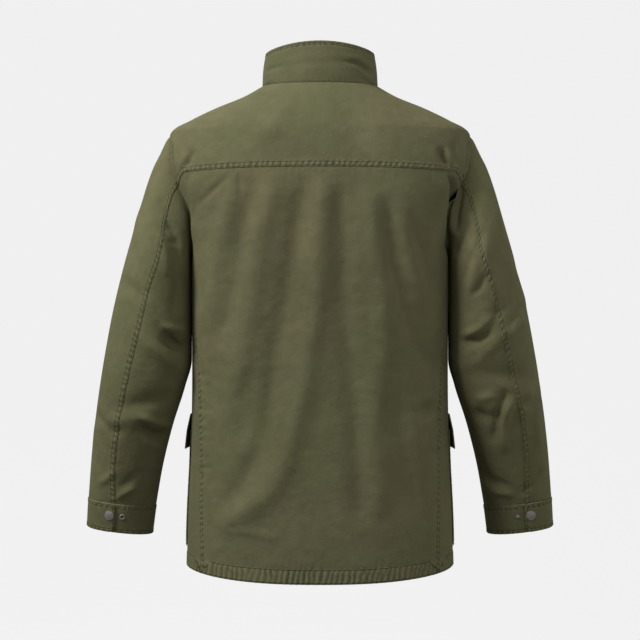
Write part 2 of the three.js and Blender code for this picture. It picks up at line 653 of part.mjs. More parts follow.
function cuffGrid() {
  const points = [0, 0.5, 1].map((down) => (
    spaced(CUFF_START, CUFF_TAB_END, CUFF_STEPS).map((degrees) => cuffPoint(down, degrees))
  ));
  const middles = [0, 0.5, 1].map((down) => CUFF_TOP.centre.clone().lerp(CUFF_FOOT.centre, down));
  return withNormals(points, middles, false);
}

// A round part turned from a profile of radius and height, set on a place
function turned(profile, place, segments) {
  const up = place.normal;
  const side = new THREE.Vector3(0, 0, 1).cross(up).normalize();
  const other = up.clone().cross(side);
  const at = ([radius, height], k) => {
    const angle = (2 * Math.PI * (k % segments)) / segments;
    return place.point.clone()
      .addScaledVector(up, height)
      .addScaledVector(side, radius * Math.cos(angle))
      .addScaledVector(other, radius * Math.sin(angle));
  };
  const positions = [];
  const triangle = (...corners) => corners.forEach(({ x, y, z }) => positions.push(x, y, z));
  for (let i = 0; i < profile.length - 1; i += 1) {
    for (let k = 0; k < segments; k += 1) {
      const low = profile[i];
      const high = profile[i + 1];
      if (low[0] > 0) triangle(at(low, k), at(low, k + 1), at(high, k));
      if (high[0] > 0) triangle(at(low, k + 1), at(high, k + 1), at(high, k));
    }
  }
  const geometry = new THREE.BufferGeometry();
  geometry.setAttribute('position', new THREE.Float32BufferAttribute(positions, 3));
  return geometry;
}

const capProfile = (radius, height) => [
  [0, 0], [radius, 0], [radius, height * 0.45], [radius * 0.78, height * 0.85], [0, height],
];
const ringProfile = (outer, inner, height) => [
  [inner, 0], [outer, 0], [outer, height], [inner, height], [inner, 0],
];

// A place part way down the left cuff, just clear of its cloth
function cuffPlace(degrees) {
  const point = cuffPoint(CUFF_CAP_DOWN, degrees);
  const round = cuffPoint(CUFF_CAP_DOWN, degrees + 1).sub(cuffPoint(CUFF_CAP_DOWN, degrees - 1));
  const down = cuffPoint(1, degrees).sub(cuffPoint(0, degrees));
  const normal = round.cross(down).normalize();
  if (normal.y < 0) normal.negate();
  return lifted({ point, normal }, SEAM);
}

const CAP = capProfile(CAP_RADIUS, CAP_HEIGHT);

function addCuff(side) {
  const handed = (places) => (side === 'left' ? places : mirrored(places));
  add(`cuff_${side}`, wall(handed(cuffGrid()), DOUBLED), CLOTH_TRIM);
  const [[cap, second]] = handed([[cuffPlace(CUFF_CAP_AT), cuffPlace(CUFF_SECOND_AT)]]);
  add(`cap_cuff_${side}`, turned(CAP, cap, 14), METAL);
  if (side === 'left') add('socket_cuff_left', turned(ringProfile(4.5, 2.2, 1.4), second, 12), METAL);
  else add('stud_cuff_right', turned(capProfile(3.2, 2), second, 12), METAL);
}

addCuff('left');
addCuff('right');

// The stand collar rises from the neck edge at the same points, its left end lapped over its right
const FRONT_ROUNDS = frontColumns().map((across) => (
  across > 1 ? 2 : mix(SHOULDER_SEAM, placketRound(0), across)
));
const YOKE_ROUNDS = backColumns().slice(1, -1).map((column) => acrossSeam(column) * SHOULDER_SEAM);
const COLLAR_LAP_END = 4 - placketRound(0);
const COLLAR_ROUNDS = [
  ...[...FRONT_ROUNDS].reverse().map((round) => -round), ...YOKE_ROUNDS, ...FRONT_ROUNDS, COLLAR_LAP_END,
];

function collarPoint(up, round) {
  const base = onBody(0, round);
  const depth = base.y > 0 ? base.y / body('back', 0) : -base.y / body('front', 0);
  const height = mix(COLLAR_HEIGHT_SIDE, base.y > 0 ? COLLAR_HEIGHT_BACK : COLLAR_HEIGHT_FRONT, depth ** 2);
  const lap = (DOUBLED + SEAM + 0.1) * ease(placketRound(0) - 0.1, 1.98, round);
  const out = new THREE.Vector3(base.x, base.y, 0).normalize();
  base.addScaledVector(out, lap + COLLAR_SWELL * Math.sin(Math.PI * up) - COLLAR_LEAN * up);
  base.z += SEAM + 0.1 + (height - SEAM) * up;
  return base;
}

function collarGrid() {
  const points = [0, 0.5, 1].map((up) => COLLAR_ROUNDS.map((round) => collarPoint(up, round)));
  const middles = [0, 0.5, 1].map((up) => new THREE.Vector3(0, 0, COLLAR_HEIGHT_BACK * up));
  return withNormals(points, middles, false).map((row) => row.map(({ point, normal }) => (
    { point, normal: normal.setZ(0).normalize() }
  )));
}

add('collar', wall(collarGrid(), DOUBLED), CLOTH_TRIM);

// The placket lies over both fronts, made from their own points
const PLACKET_WALL = 1.8;
const PLACKET_BELOW_NECK = 6;
const PLACKET_LIFT = SEAM + 0.1 + PLACKET_WALL;
const placketPlaces = leftFront.map((row, i) => [
  row[FRONT_COLUMNS], row[FRONT_COLUMNS + 1], rightFront[i][FRONT_COLUMNS],
]);
const placket = holdBack(trimmed(copied(placketPlaces), ['bottom']), 'top', PLACKET_BELOW_NECK);
add('placket', wall(movedOut(placket, () => PLACKET_LIFT), PLACKET_WALL), CLOTH);

PLACKET_CAP_DROPS.forEach((drop, i) => {
  const place = lifted(bodyPlace(drop, 2), PLACKET_LIFT + SEAM);
  add(`cap_placket_${i + 1}`, turned(CAP, place, 14), METAL);
});
const collarCap = collarPoint(0.5, 2.08);
const collarOut = new THREE.Vector3(0, -1, 0);
add('cap_collar', turned(CAP, lifted({ point: collarCap, normal: collarOut }, SEAM + 0.6), 14), METAL);

// A pocket and its flap, made from the front's own points
const pocketPlaces = (front, rows) => columnsOf(
  rows.map((row) => front[FRONT_ROWS.indexOf(row)]), POCKET_COLUMNS.rear, POCKET_COLUMNS.fore,
);
const FLAP_WALL = 2;
const POCKET_LIFT = SEAM + 0.1 + POCKET_WALL;
const FLAP_LIFTS = [SEAM + 0.1, POCKET_LIFT + 0.6, POCKET_LIFT + 1.4];

function addPocket(side, front) {
  const pocket = movedOut(pocketPlaces(front, POCKET_ROWS), () => POCKET_LIFT);
  add(`pocket_${side}`, wall(pocket, POCKET_WALL), CLOTH);
  const flare = (i, j) => (FLAP_FLARE * i * Math.max(2 - j, 0)) / 4;
  const flap = movedOut(pocketPlaces(front, FLAP_ROWS), (i, j) => FLAP_LIFTS[i] + FLAP_WALL + flare(i, j));
  add(`pocket_flap_${side}`, wall(flap, FLAP_WALL), CLOTH);
}

addPocket('left', leftFront);
addPocket('right', rightFront);

export default jacket;
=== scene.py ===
"""A field jacket filled out as if worn: its finished cloth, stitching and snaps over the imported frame."""

import logging
import math
from collections.abc import Callable
from dataclasses import dataclass, field
from enum import Enum

import bpy
import numpy as np
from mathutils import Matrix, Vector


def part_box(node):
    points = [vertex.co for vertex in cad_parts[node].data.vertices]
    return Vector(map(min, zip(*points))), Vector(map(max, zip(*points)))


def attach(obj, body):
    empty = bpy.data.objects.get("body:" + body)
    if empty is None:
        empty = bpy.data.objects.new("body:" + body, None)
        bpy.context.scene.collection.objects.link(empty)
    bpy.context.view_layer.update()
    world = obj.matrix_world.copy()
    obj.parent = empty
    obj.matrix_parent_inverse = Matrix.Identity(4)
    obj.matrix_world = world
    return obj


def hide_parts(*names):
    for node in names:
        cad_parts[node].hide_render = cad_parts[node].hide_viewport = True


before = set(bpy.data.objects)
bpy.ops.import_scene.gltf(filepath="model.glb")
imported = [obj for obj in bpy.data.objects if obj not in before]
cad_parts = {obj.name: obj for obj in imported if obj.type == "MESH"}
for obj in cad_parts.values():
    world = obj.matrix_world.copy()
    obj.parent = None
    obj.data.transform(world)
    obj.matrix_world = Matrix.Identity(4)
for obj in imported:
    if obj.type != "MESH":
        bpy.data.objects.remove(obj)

LOG = logging.getLogger("field_jacket")
MM = 0.001

# Sizes are in millimetres. A drop is measured down from the neck.
SHOULDER_DROP = 72.0
UNDERARM_DROP = 262.0
YOKE_DROP_MIDDLE = 133.0
YOKE_DROP_ARMHOLE = 156.0
YOKE_SAG = 6.0
HEM_DROP = 735.0
HEM_DEPTH = 21.0
ARMHOLE_MIDDLE = (SHOULDER_DROP + UNDERARM_DROP) / 2
ARMHOLE_HALF = (UNDERARM_DROP - SHOULDER_DROP) / 2
PLACKET_HALF = 30.0
PLACKET_CAP_DROPS = (60.0, 190.0, 320.0, 450.0, 580.0)
PLEAT_MARGIN = 6.5
STITCH_INSET = 2.0

# The gaps and walls of the solids, and those of the finer cloth that stands for them.
SEAM = 0.3
CLEARANCE = SEAM + 0.1
LAP_LIFT = 2.6 + CLEARANCE
CLOTH_WALL = 1.2
UNDER_LAP = 0.45

# How far round the body a seam lies: 0 at middle back, 1 at the widest point, 2 at middle front.
SHOULDER_SEAM = 1.07
UNDERARM_SEAM = 0.96
TURN_STEP = 0.004

NO_TRIANGLES = np.empty((0, 3), int)
Values = float | np.ndarray


class Side(Enum):
    """The wearer's two sides, as the sign of X."""

    LEFT = 1
    RIGHT = -1

    @property
    def word(self) -> str:
        """The side's name as the nodes spell it."""
        return self.name.lower()


class Face(Enum):
    """The back and the front of the body, as the sign of Y."""

    BACK = 1
    FRONT = -1


class Edge(Enum):
    """The four edges of a panel's grid."""

    TOP = "top"
    BOTTOM = "bottom"
    FIRST = "first"
    LAST = "last"


SIDE_EDGES = (Edge.FIRST, Edge.LAST)


def mix(start: Values, end: Values, share: Values) -> Values:
    """Blend from start, at share 0, to end, at share 1."""
    return start + (end - start) * share


def ease(start: float, end: float, at: Values) -> Values:
    """Rise softly from 0 to 1 between start and end."""
    share = np.clip((at - start) / (end - start), 0.0, 1.0)
    return share * share * (3 - 2 * share)


def unit(vectors: np.ndarray) -> np.ndarray:
    """Scale vectors, whose last axis is X, Y, Z, to length one."""
    return vectors / np.maximum(np.linalg.norm(vectors, axis=-1, keepdims=True), 1e-9)


def bell(at: Values, middle: float, width: float) -> Values:
    """Rise to 1 at the middle and fall away on both sides."""
    return np.exp(-(((at - middle) / width) ** 2))


def read_line(at: np.ndarray, far: np.ndarray, values: np.ndarray) -> np.ndarray:
    """Read X, Y and Z along a line whose points lie at the distances far."""
    return np.stack([np.interp(at, far, values[:, k]) for k in range(3)], axis=-1)


@dataclass(frozen=True)
class Table:
    """Rows of sizes under named columns, read between rows along a curve that never overshoots."""

    columns: tuple[str, ...]
    rows: tuple[tuple[float, ...], ...]

    def read(self, column: str, at: np.ndarray) -> np.ndarray:
        """Read one column by the first.

        Args:
            column: The column's name.
            at: Values of the first column.

        Returns:
            The sizes there.
        """
        keys = np.array([row[0] for row in self.rows])
        values = np.array([row[self.columns.index(column)] for row in self.rows])
        gaps = np.diff(keys)
        rises = np.diff(values) / gaps
        before, after = rises[:-1], rises[1:]
        agree = before * after > 0
        total = np.where(agree, before + after, 1.0)
        inner = np.where(agree, 2 * before * after / total, 0.0)
        slopes = np.concatenate([rises[:1], inner, rises[-1:]])
        at = np.clip(at, keys[0], keys[-1])
        row = np.clip(np.searchsorted(keys, at, side="right") - 1, 0, len(gaps) - 1)
        share = (at - keys[row]) / gaps[row]
        rest = 1 - share
        ends = values[row] * (1 + 2 * share) * rest**2 + values[row + 1] * share**2 * (3 - 2 * share)
        bend = slopes[row] * share * rest**2 - slopes[row + 1] * share**2 * rest
        return ends + gaps[row] * bend


BODY = Table(
    ("drop", "side", "back", "front", "z_side", "z_back", "z_front", "round"),
    (
        (0, 89, 62, 78, 1, -1, -68, 2.0),
        (16, 119, 76, 88, -16, -19, -80, 2.0),
        (34, 163, 88, 97, -34, -38, -93, 2.05),
        (53, 202, 98, 105, -53, -56, -107, 2.15),
        (72, 232, 106, 111, -72, -74, -121, 2.3),
        (110, 233, 114, 121, -110, -110, -150, 2.6),
        (156, 220, 120, 129, -156, -156, -184, 2.9),
        (182, 207, 122, 132, -182, -182, -203, 3.1),
        (210, 199, 123, 134, -210, -210, -225, 3.2),
        (262, 197.5, 124, 137, -262, -262, -268, 3.0),
        (340, 197, 122, 137, -340, -340, -341, 2.9),
        (440, 197, 121, 136, -440, -441, -440, 2.7),
        (560, 199, 124, 138, -560, -564, -560, 2.55),
        (660, 203.5, 128, 140, -660, -668, -660, 2.45),
        (735, 205.5, 131, 141, -734, -747, -733, 2.4),
    ),
)
SIDE_SEAM = Table(
    ("drop", "turn"),
    ((262, UNDERARM_SEAM), (330, 0.88), (420, 0.775), (560, 0.735), (735, 0.695)),
)
SLEEVE = Table(
    ("t", "out_x", "out_z", "in_x", "in_z", "mid_y", "half", "back", "front"),
    (
        (0.0, 232, -72, 197.5, -262, -2, 66, 84, -100),
        (0.03, 242, -85, 198, -267, -1, 70, 86, -100),
        (0.08, 254, -112, 198, -277, 0, 75, 89, -100),
        (0.16, 266, -148, 198, -295, 2, 80, 91, -100),
        (0.28, 283, -208, 198, -328, 5, 82, 90, -102),
        (0.4, 302, -276, 198, -370, 8, 79, 83, -104),
        (0.52, 318, -342, 198, -420, 9, 75, 79, -106),
        (0.64, 332, -414, 208, -461, 6, 70, 76, -108),
        (0.76, 345, -492, 228, -522, -2, 63, 75, -110),
        (0.88, 355, -566, 245, -587, -14, 55, 77, -112),
        (1.0, 362, -637, 257, -650, -26, 48, 84, -114),
    ),
)


@dataclass
class BodyForm:
    """The body as rings of rounded ovals, by the drop below the neck and the turn from middle back."""

    steps: int = 256
    spread: dict[Face, float] = field(default_factory=lambda: {Face.BACK: 0.185, Face.FRONT: 0.2})
    walks: dict[Face, np.ndarray] = field(init=False)
    girth: dict[Face, np.ndarray] = field(init=False)

    def __post_init__(self) -> None:
        """Work out every ring once."""
        back, front = self._walk("back"), self._walk("front")
        self.walks = {Face.BACK: back[0], Face.FRONT: front[0]}
        self.girth = {Face.BACK: back[1], Face.FRONT: front[1]}

    def _walk(self, depth: str) -> tuple[np.ndarray, np.ndarray]:
        """Walk a quarter of each ring.

        Args:
            depth: The table's column for its depth.

        Returns:
            X and Y by drop and share, and each quarter's length.
        """
        drops = np.arange(0, HEM_DROP + 1)
        angle = np.linspace(0, math.pi / 2, 401)
        power = 2 / BODY.read("round", drops)[:, None]
        x = BODY.read("side", drops)[:, None] * np.sin(angle) ** power
        y = BODY.read(depth, drops)[:, None] * np.clip(np.cos(angle), 0, 1) ** power
        y[:, -1] = 0
        far = np.cumsum(np.hypot(np.diff(x, axis=1), np.diff(y, axis=1)), axis=1)
        far = np.concatenate([np.zeros((len(drops), 1)), far], axis=1)
        shares = np.linspace(0, 1, self.steps + 1)
        walk = np.empty((len(drops), self.steps + 1, 2))
        for row in range(len(drops)):
            at = shares * far[row, -1]
            walk[row, :, 0] = np.interp(at, far[row], x[row])
            walk[row, :, 1] = np.interp(at, far[row], y[row])
        return walk, far[:, -1]

    def _quarter(self, face: Face, drop: np.ndarray, share: np.ndarray) -> np.ndarray:
        """Read X and Y on one face, between rings and steps.

        Args:
            face: The face.
            drop: Drops below the neck.
            share: Shares of the quarter ring, from the middle out.

        Returns:
            X and Y at each place.
        """
        walk = self.walks[face]
        drop = np.clip(drop, 0, HEM_DROP)
        i = np.minimum(drop.astype(int), int(HEM_DROP) - 1)
        place = np.clip(share, 0, 1) * self.steps
        k = np.minimum(place.astype(int), self.steps - 1)
        down, on = (drop - i)[..., None], (place - k)[..., None]
        upper = mix(walk[i, k], walk[i, k + 1], on)
        lower = mix(walk[i + 1, k], walk[i + 1, k + 1], on)
        return mix(upper, lower, down)

    def point(self, drop: np.ndarray, turn: np.ndarray) -> np.ndarray:
        """Find points on the body.

        Args:
            drop: How far down from the neck, in millimetres.
            turn: 0 at middle back, 1 and -1 at the widest points, 2 and -2 at middle front.

        Returns:
            The points, in millimetres.
        """
        drop, turn = np.broadcast_arrays(np.asarray(drop, float), np.asarray(turn, float))
        turn = np.where(turn > 2, turn - 4, np.where(turn < -2, turn + 4, turn))
        sign = np.where(turn < 0, -1.0, 1.0)
        far = np.abs(turn)
        behind = far <= 1
        rear = self._quarter(Face.BACK, drop, far)
        fore = self._quarter(Face.FRONT, drop, 2 - far)
        x = np.where(behind, rear[..., 0], fore[..., 0])
        y = np.where(behind, rear[..., 1], fore[..., 1])
        depth = np.where(behind, BODY.read("back", drop), BODY.read("front", drop))
        deep = np.where(behind, BODY.read("z_back", drop), BODY.read("z_front", drop))
        z = mix(BODY.read("z_side", drop), deep, (y / depth) ** 2)
        return np.stack([sign * x, np.where(behind, y, -y), z], axis=-1)

    def square(self, drop: np.ndarray, turn: np.ndarray) -> np.ndarray:
        """Find the line square to the plain body, in or out.

        Args:
            drop: Drops below the neck.
            turn: How far round.

        Returns:
            Unit vectors.
        """
        over = self.point(drop, turn + TURN_STEP) - self.point(drop, turn - TURN_STEP)
        down = self.point(drop + 1.0, turn) - self.point(drop - 1.0, turn)
        return unit(np.cross(over, down))

    def normal(self, drop: np.ndarray, turn: np.ndarray) -> np.ndarray:
        """Find the way the plain body faces.

        Args:
            drop: Drops below the neck.
            turn: How far round.

        Returns:
            Unit vectors, outward.
        """
        out = self.square(drop, turn)
        point = self.point(drop, turn)
        facing = np.sum(out[..., :2] * point[..., :2], axis=-1, keepdims=True)
        return out * np.where(facing < 0, -1.0, 1.0)

    def edge_turn(self, row: np.ndarray, face: Face) -> np.ndarray:
        """Find the edge of the back or a front: shoulder seam, armhole, then side seam.

        Args:
            row: Drops below the neck.
            face: Which panel.

        Returns:
            How far round the edge lies.
        """
        up = np.clip((row - ARMHOLE_MIDDLE) / ARMHOLE_HALF, -1, 1)
        line = mix(SHOULDER_SEAM, UNDERARM_SEAM, (up + 1) / 2)
        armhole = line - face.value * self.spread[face] * np.sqrt(1 - up * up)
        side = SIDE_SEAM.read("turn", row)
        return np.where(row <= SHOULDER_DROP, SHOULDER_SEAM, np.where(row >= UNDERARM_DROP, side, armhole))

    def girth_at(self, row: np.ndarray, face: Face) -> np.ndarray:
        """Read the length of a quarter ring."""
        return np.interp(row, np.arange(0, HEM_DROP + 1), self.girth[face])

    def placket_turn(self, row: np.ndarray) -> np.ndarray:
        """Find the placket's edge, a set distance from middle front."""
        return 2 - PLACKET_HALF / self.girth_at(row, Face.FRONT)

    def pleat_turn(self, row: np.ndarray, edge_x: float) -> np.ndarray:
        """Find the folded edge of the pleat beside an armhole.

        Args:
            row: Drops below the neck, in one column.
            edge_x: How far out the edge hangs.

        Returns:
            How far round it lies.
        """
        shares = np.linspace(0, 1, self.steps + 1)
        flat = np.asarray(row, float).reshape(-1)
        rings = self.walks[Face.BACK][np.minimum(np.rint(flat).astype(int), int(HEM_DROP)), :, 0]
        at = [np.interp(edge_x, ring, shares) for ring in rings]
        clear = self.edge_turn(flat, Face.BACK) - PLEAT_MARGIN / self.girth_at(flat, Face.BACK)
        return np.minimum(np.array(at), clear).reshape(np.shape(row))


def yoke_seam(across: np.ndarray) -> np.ndarray:
    """Find the drop of the yoke seam, which sags to its ends.

    Args:
        across: -1 to 1 between the armholes.

    Returns:
        The drops below the neck.
    """
    far = np.abs(across)
    dip = YOKE_DROP_ARMHOLE - YOKE_DROP_MIDDLE - YOKE_SAG
    return YOKE_DROP_MIDDLE + YOKE_SAG * far**2 + dip * np.clip((far - 0.88) / 0.12, 0, 1)


@dataclass(frozen=True)
class Crease:
    """A soft crest (height over 0) or trough along a path in X and Z, in millimetres, fading at its ends."""

    path: tuple[tuple[float, float], ...]
    width: float
    height: float
    fade: float = 35.0

    def push(self, x: np.ndarray, z: np.ndarray) -> np.ndarray:
        """Work out how far the crease moves the cloth.

        Args:
            x: The points' X.
            z: The points' Z.

        Returns:
            The move out at each point.
        """
        nearest = np.full(x.shape, 1e9)
        strength = np.zeros(x.shape)
        last = len(self.path) - 2
        whole = sum(math.dist(a, b) for a, b in zip(self.path, self.path[1:]))
        fade = min(self.fade, 0.45 * whole)
        for i, ((x0, z0), (x1, z1)) in enumerate(zip(self.path, self.path[1:])):
            length = math.hypot(x1 - x0, z1 - z0)
            along = ((x - x0) * (x1 - x0) + (z - z0) * (z1 - z0)) / length
            kept = np.clip(along, 0, length) / length
            beside = np.hypot(x - mix(x0, x1, kept), z - mix(z0, z1, kept))
            here = np.ones(x.shape)
            if i == 0:
                here = here * ease(-fade * 0.6, fade, along)
            if i == last:
                here = here * ease(-fade * 0.6, fade, length - along)
            closer = beside < nearest
            nearest = np.where(closer, beside, nearest)
            strength = np.where(closer, here, strength)
        return self.height * strength * bell(nearest, 0, self.width)


def laid(*rows: tuple) -> tuple[Crease, ...]:
    """Make creases from rows of width, height, fade and then the points of the path."""
    return tuple(Crease(row[3:], *row[:3]) for row in rows)


def creased(
    points: np.ndarray, normals: np.ndarray, creases: tuple[Crease, ...], face: Face, settle: np.ndarray | float
) -> np.ndarray:
    """Press creases into the cloth that faces one way.

    Args:
        points: The cloth.
        normals: The way it faces.
        creases: The creases.
        face: Which way the creased cloth faces.
        settle: How fully they show at each point.

    Returns:
        The creased cloth.
    """
    facing = ease(0.08, 0.5, normals[..., 1] * face.value)
    total = sum(crease.push(points[..., 0], points[..., 2]) for crease in creases)
    return points + normals * (total * facing * settle)[..., None]


@dataclass(frozen=True)
class Pucker:
    """Uneven ripples that a tight seam draws up in the cloth beside it."""

    period: float
    height: float
    reach: float
    seed: int
    lean: float = 0.0
    start: float = 0.0

    def push(self, along: np.ndarray, away: np.ndarray) -> np.ndarray:
        """Work out the ripples.

        Args:
            along: Distance along the seam.
            away: Distance from it.

        Returns:
            The move out at each point.
        """
        at = along + self.lean * away
        slow = np.sin(at / (self.period * 0.83) + 1.7 * self.seed)
        slow = slow + 0.8 * np.sin(at / (self.period * 2.1) + self.seed)
        phase = 2 * math.pi * at / self.period + 1.3 * slow
        strong = 0.55 + 0.3 * np.sin(at / (self.period * 1.9) + 2.3 * self.seed)
        strong = strong + 0.15 * np.sin(at / (self.period * 6.1) + 0.7 * self.seed)
        wave = np.sin(phase) + 0.35 * np.sin(2.17 * phase + self.seed)
        band = bell(np.maximum(away - self.start, 0), 0, self.reach)
        return self.height * wave * strong * band


@dataclass
class Run:
    """A line along the cloth, with the way the cloth faces at each point."""

    points: np.ndarray
    normals: np.ndarray

    def spaced(self, pitch: float) -> tuple[np.ndarray, np.ndarray, np.ndarray]:
        """Set places along the line.

        Args:
            pitch: The distance from one to the next.

        Returns:
            The places, the directions along the line and the normals.
        """
        far = np.concatenate([[0], np.cumsum(np.linalg.norm(np.diff(self.points, axis=0), axis=1))])
        at = np.arange(pitch * 0.5, far[-1] - pitch * 0.3, pitch)
        step = pitch * 0.25
        ahead = read_line(at + step, far, self.points) - read_line(at - step, far, self.points)
        return read_line(at, far, self.points), unit(ahead), unit(read_line(at, far, self.normals))


@dataclass
class Panel:
    """A piece of cloth as a grid of outer points, rows running down and columns across."""

    points: np.ndarray
    wall: np.ndarray
    sense: float = 1.0
    wear: np.ndarray = field(init=False)
    seam: np.ndarray = field(init=False)

    def __post_init__(self) -> None:
        """Start with no wear and no seam near, and spread the wall over the grid."""
        self.wear = np.zeros(self.points.shape[:2])
        self.seam = np.broadcast_to((0.0, 99.0, 0.0), self.points.shape).copy()
        self.wall = np.broadcast_to(np.asarray(self.wall, float), self.points.shape[:2]).copy()

    def face_away_from(self, middles: np.ndarray) -> "Panel":
        """Turn the normals away from the middles.

        Args:
            middles: A point inside the garment for each row.

        Returns:
            This panel.
        """
        off = self.points - middles[:, None, :]
        self.sense = 1.0
        self.sense = 1.0 if float(np.sum(self.normals() * off)) > 0 else -1.0
        return self

    def normals(self) -> np.ndarray:
        """Find the way the cloth faces at each point.

        Returns:
            Unit vectors, outward.
        """
        down = np.gradient(self.points, axis=0)
        across = np.gradient(self.points, axis=1)
        return self.sense * unit(np.cross(across, down))

    def away(self, edge: Edge) -> np.ndarray:
        """Measure how far each point lies from an edge, along the grid.

        Args:
            edge: The edge.

        Returns:
            The distances.
        """
        axis = 0 if edge in (Edge.TOP, Edge.BOTTOM) else 1
        steps = np.linalg.norm(np.diff(self.points, axis=axis), axis=-1)
        start = np.zeros_like(np.take(steps, [0], axis=axis))
        far = np.concatenate([start, np.cumsum(steps, axis=axis)], axis=axis)
        if edge in (Edge.BOTTOM, Edge.LAST):
            far = np.take(far, [-1], axis=axis) - far
        return far

    def along(self, edge: Edge) -> np.ndarray:
        """Measure how far along an edge each point lies.

        Args:
            edge: The edge.

        Returns:
            The distances.
        """
        line = {
            Edge.TOP: self.points[0],
            Edge.BOTTOM: self.points[-1],
            Edge.FIRST: self.points[:, 0],
            Edge.LAST: self.points[:, -1],
        }[edge]
        far = np.concatenate([[0], np.cumsum(np.linalg.norm(np.diff(line, axis=0), axis=1))])
        far = far[None, :] if edge in (Edge.TOP, Edge.BOTTOM) else far[:, None]
        return np.broadcast_to(far, self.points.shape[:2])

    def push(self, amount: np.ndarray) -> None:
        """Move every point out by its amount."""
        self.points = self.points + self.normals() * np.asarray(amount)[..., None]

    def crease(self, creases: tuple[Crease, ...], face: Face, settle: np.ndarray | float = 1.0) -> None:
        """Press creases into this panel where it faces one way."""
        self.points = creased(self.points, self.normals(), creases, face, settle)

    def pucker(self, edge: Edge, ripple: Pucker, where: np.ndarray | float = 1.0) -> None:
        """Draw up ripples beside an edge, as fully as where says."""
        self.push(ripple.push(self.along(edge), self.away(edge)) * where)

    def mark(self, edge: Edge, width: float, where: np.ndarray | float = 1.0) -> None:
        """Note the band of a stitched edge, for the finish to gather and to darken with painted shade.

        Args:
            edge: The edge.
            width: From the edge to the band's inner stitch row.
            where: How fully it shows at each point.
        """
        away = self.away(edge)
        band = np.stack([self.along(edge), away, np.broadcast_to(width * where, away.shape)], axis=-1)
        self.seam = np.where((away < self.seam[..., 1])[..., None], band, self.seam)

    def welt(self, edge: Edge, width: float, height: float, where: np.ndarray | float = 1.0) -> None:
        """Raise the doubled cloth of a topstitched seam and wear it a little.

        Args:
            edge: The seam's edge.
            width: From the edge to the inner stitch row.
            height: How proud it stands.
            where: How fully it shows at each point.
        """
        away = self.away(edge)
        band = 1 - ease(width - 1.5, width + 2.5, away)
        sunk = 0.35 * bell(away, width, 1.3) + 0.25 * bell(away, STITCH_INSET, 1.0)
        self.push((height * band - sunk) * where)
        self.wear = np.maximum(self.wear, (1 - ease(width, width + 5, away)) * where)
        self.mark(edge, width, where)

    def hem(self, away: np.ndarray, depth: float = HEM_DEPTH) -> None:
        """Turn up the hem, with its sunk stitch line, doubled wall and worn fold.

        Args:
            away: Distances from the hem's fold, measured before the cloth was puckered.
            depth: From the fold to the stitches.
        """
        groove = 0.8 * bell(away, depth, 2.0)
        self.push(-groove + 0.5 * (1 - ease(depth - 3, depth + 2, away)))
        self.mark(Edge.BOTTOM, depth)
        self.wear = np.maximum(self.wear, 1 - ease(depth, depth + 8, away))
        self.wall = self.wall + 1.0 * (1 - ease(depth - 2, depth + 3, away))

    def twin(self, edge: Edge, inset: float, start: float = 0.0, stop: float = 1.0) -> tuple["Run", "Run"]:
        """Follow an edge with two stitch rows, the second at the inset."""
        return self.run(edge, STITCH_INSET, start, stop), self.run(edge, inset, start, stop)

    def run(self, edge: Edge, inset: float, start: float = 0.0, stop: float = 1.0) -> Run:
        """Follow an edge at a set distance on the finished cloth.

        Args:
            edge: The edge to follow.
            inset: The distance from it.
            start: The share of the edge where the line begins.
            stop: The share where it ends.

        Returns:
            The line.
        """
        far, points, normals = self.away(edge), self.points, self.normals()
        if edge in SIDE_EDGES:
            far, points, normals = far.T, points.swapaxes(0, 1), normals.swapaxes(0, 1)
        if edge in (Edge.BOTTOM, Edge.LAST):
            far, points, normals = far[::-1], points[::-1], normals[::-1]
        count = far.shape[1]
        columns = range(int(start * (count - 1)), int(stop * (count - 1)) + 1)
        line = [[np.interp(inset, far[:, c], points[:, c, k]) for k in range(3)] for c in columns]
        out = [[np.interp(inset, far[:, c], normals[:, c, k]) for k in range(3)] for c in columns]
        return Run(np.array(line), unit(np.array(out)))

    def area(self) -> float:
        """Measure the cloth.

        Returns:
            Its area in square metres.
        """
        across, down = np.diff(self.points, axis=1), np.diff(self.points, axis=0)
        cells = np.linalg.norm(np.cross(across[:-1], down[:, :-1]), axis=-1)
        return float(cells.sum()) * MM * MM


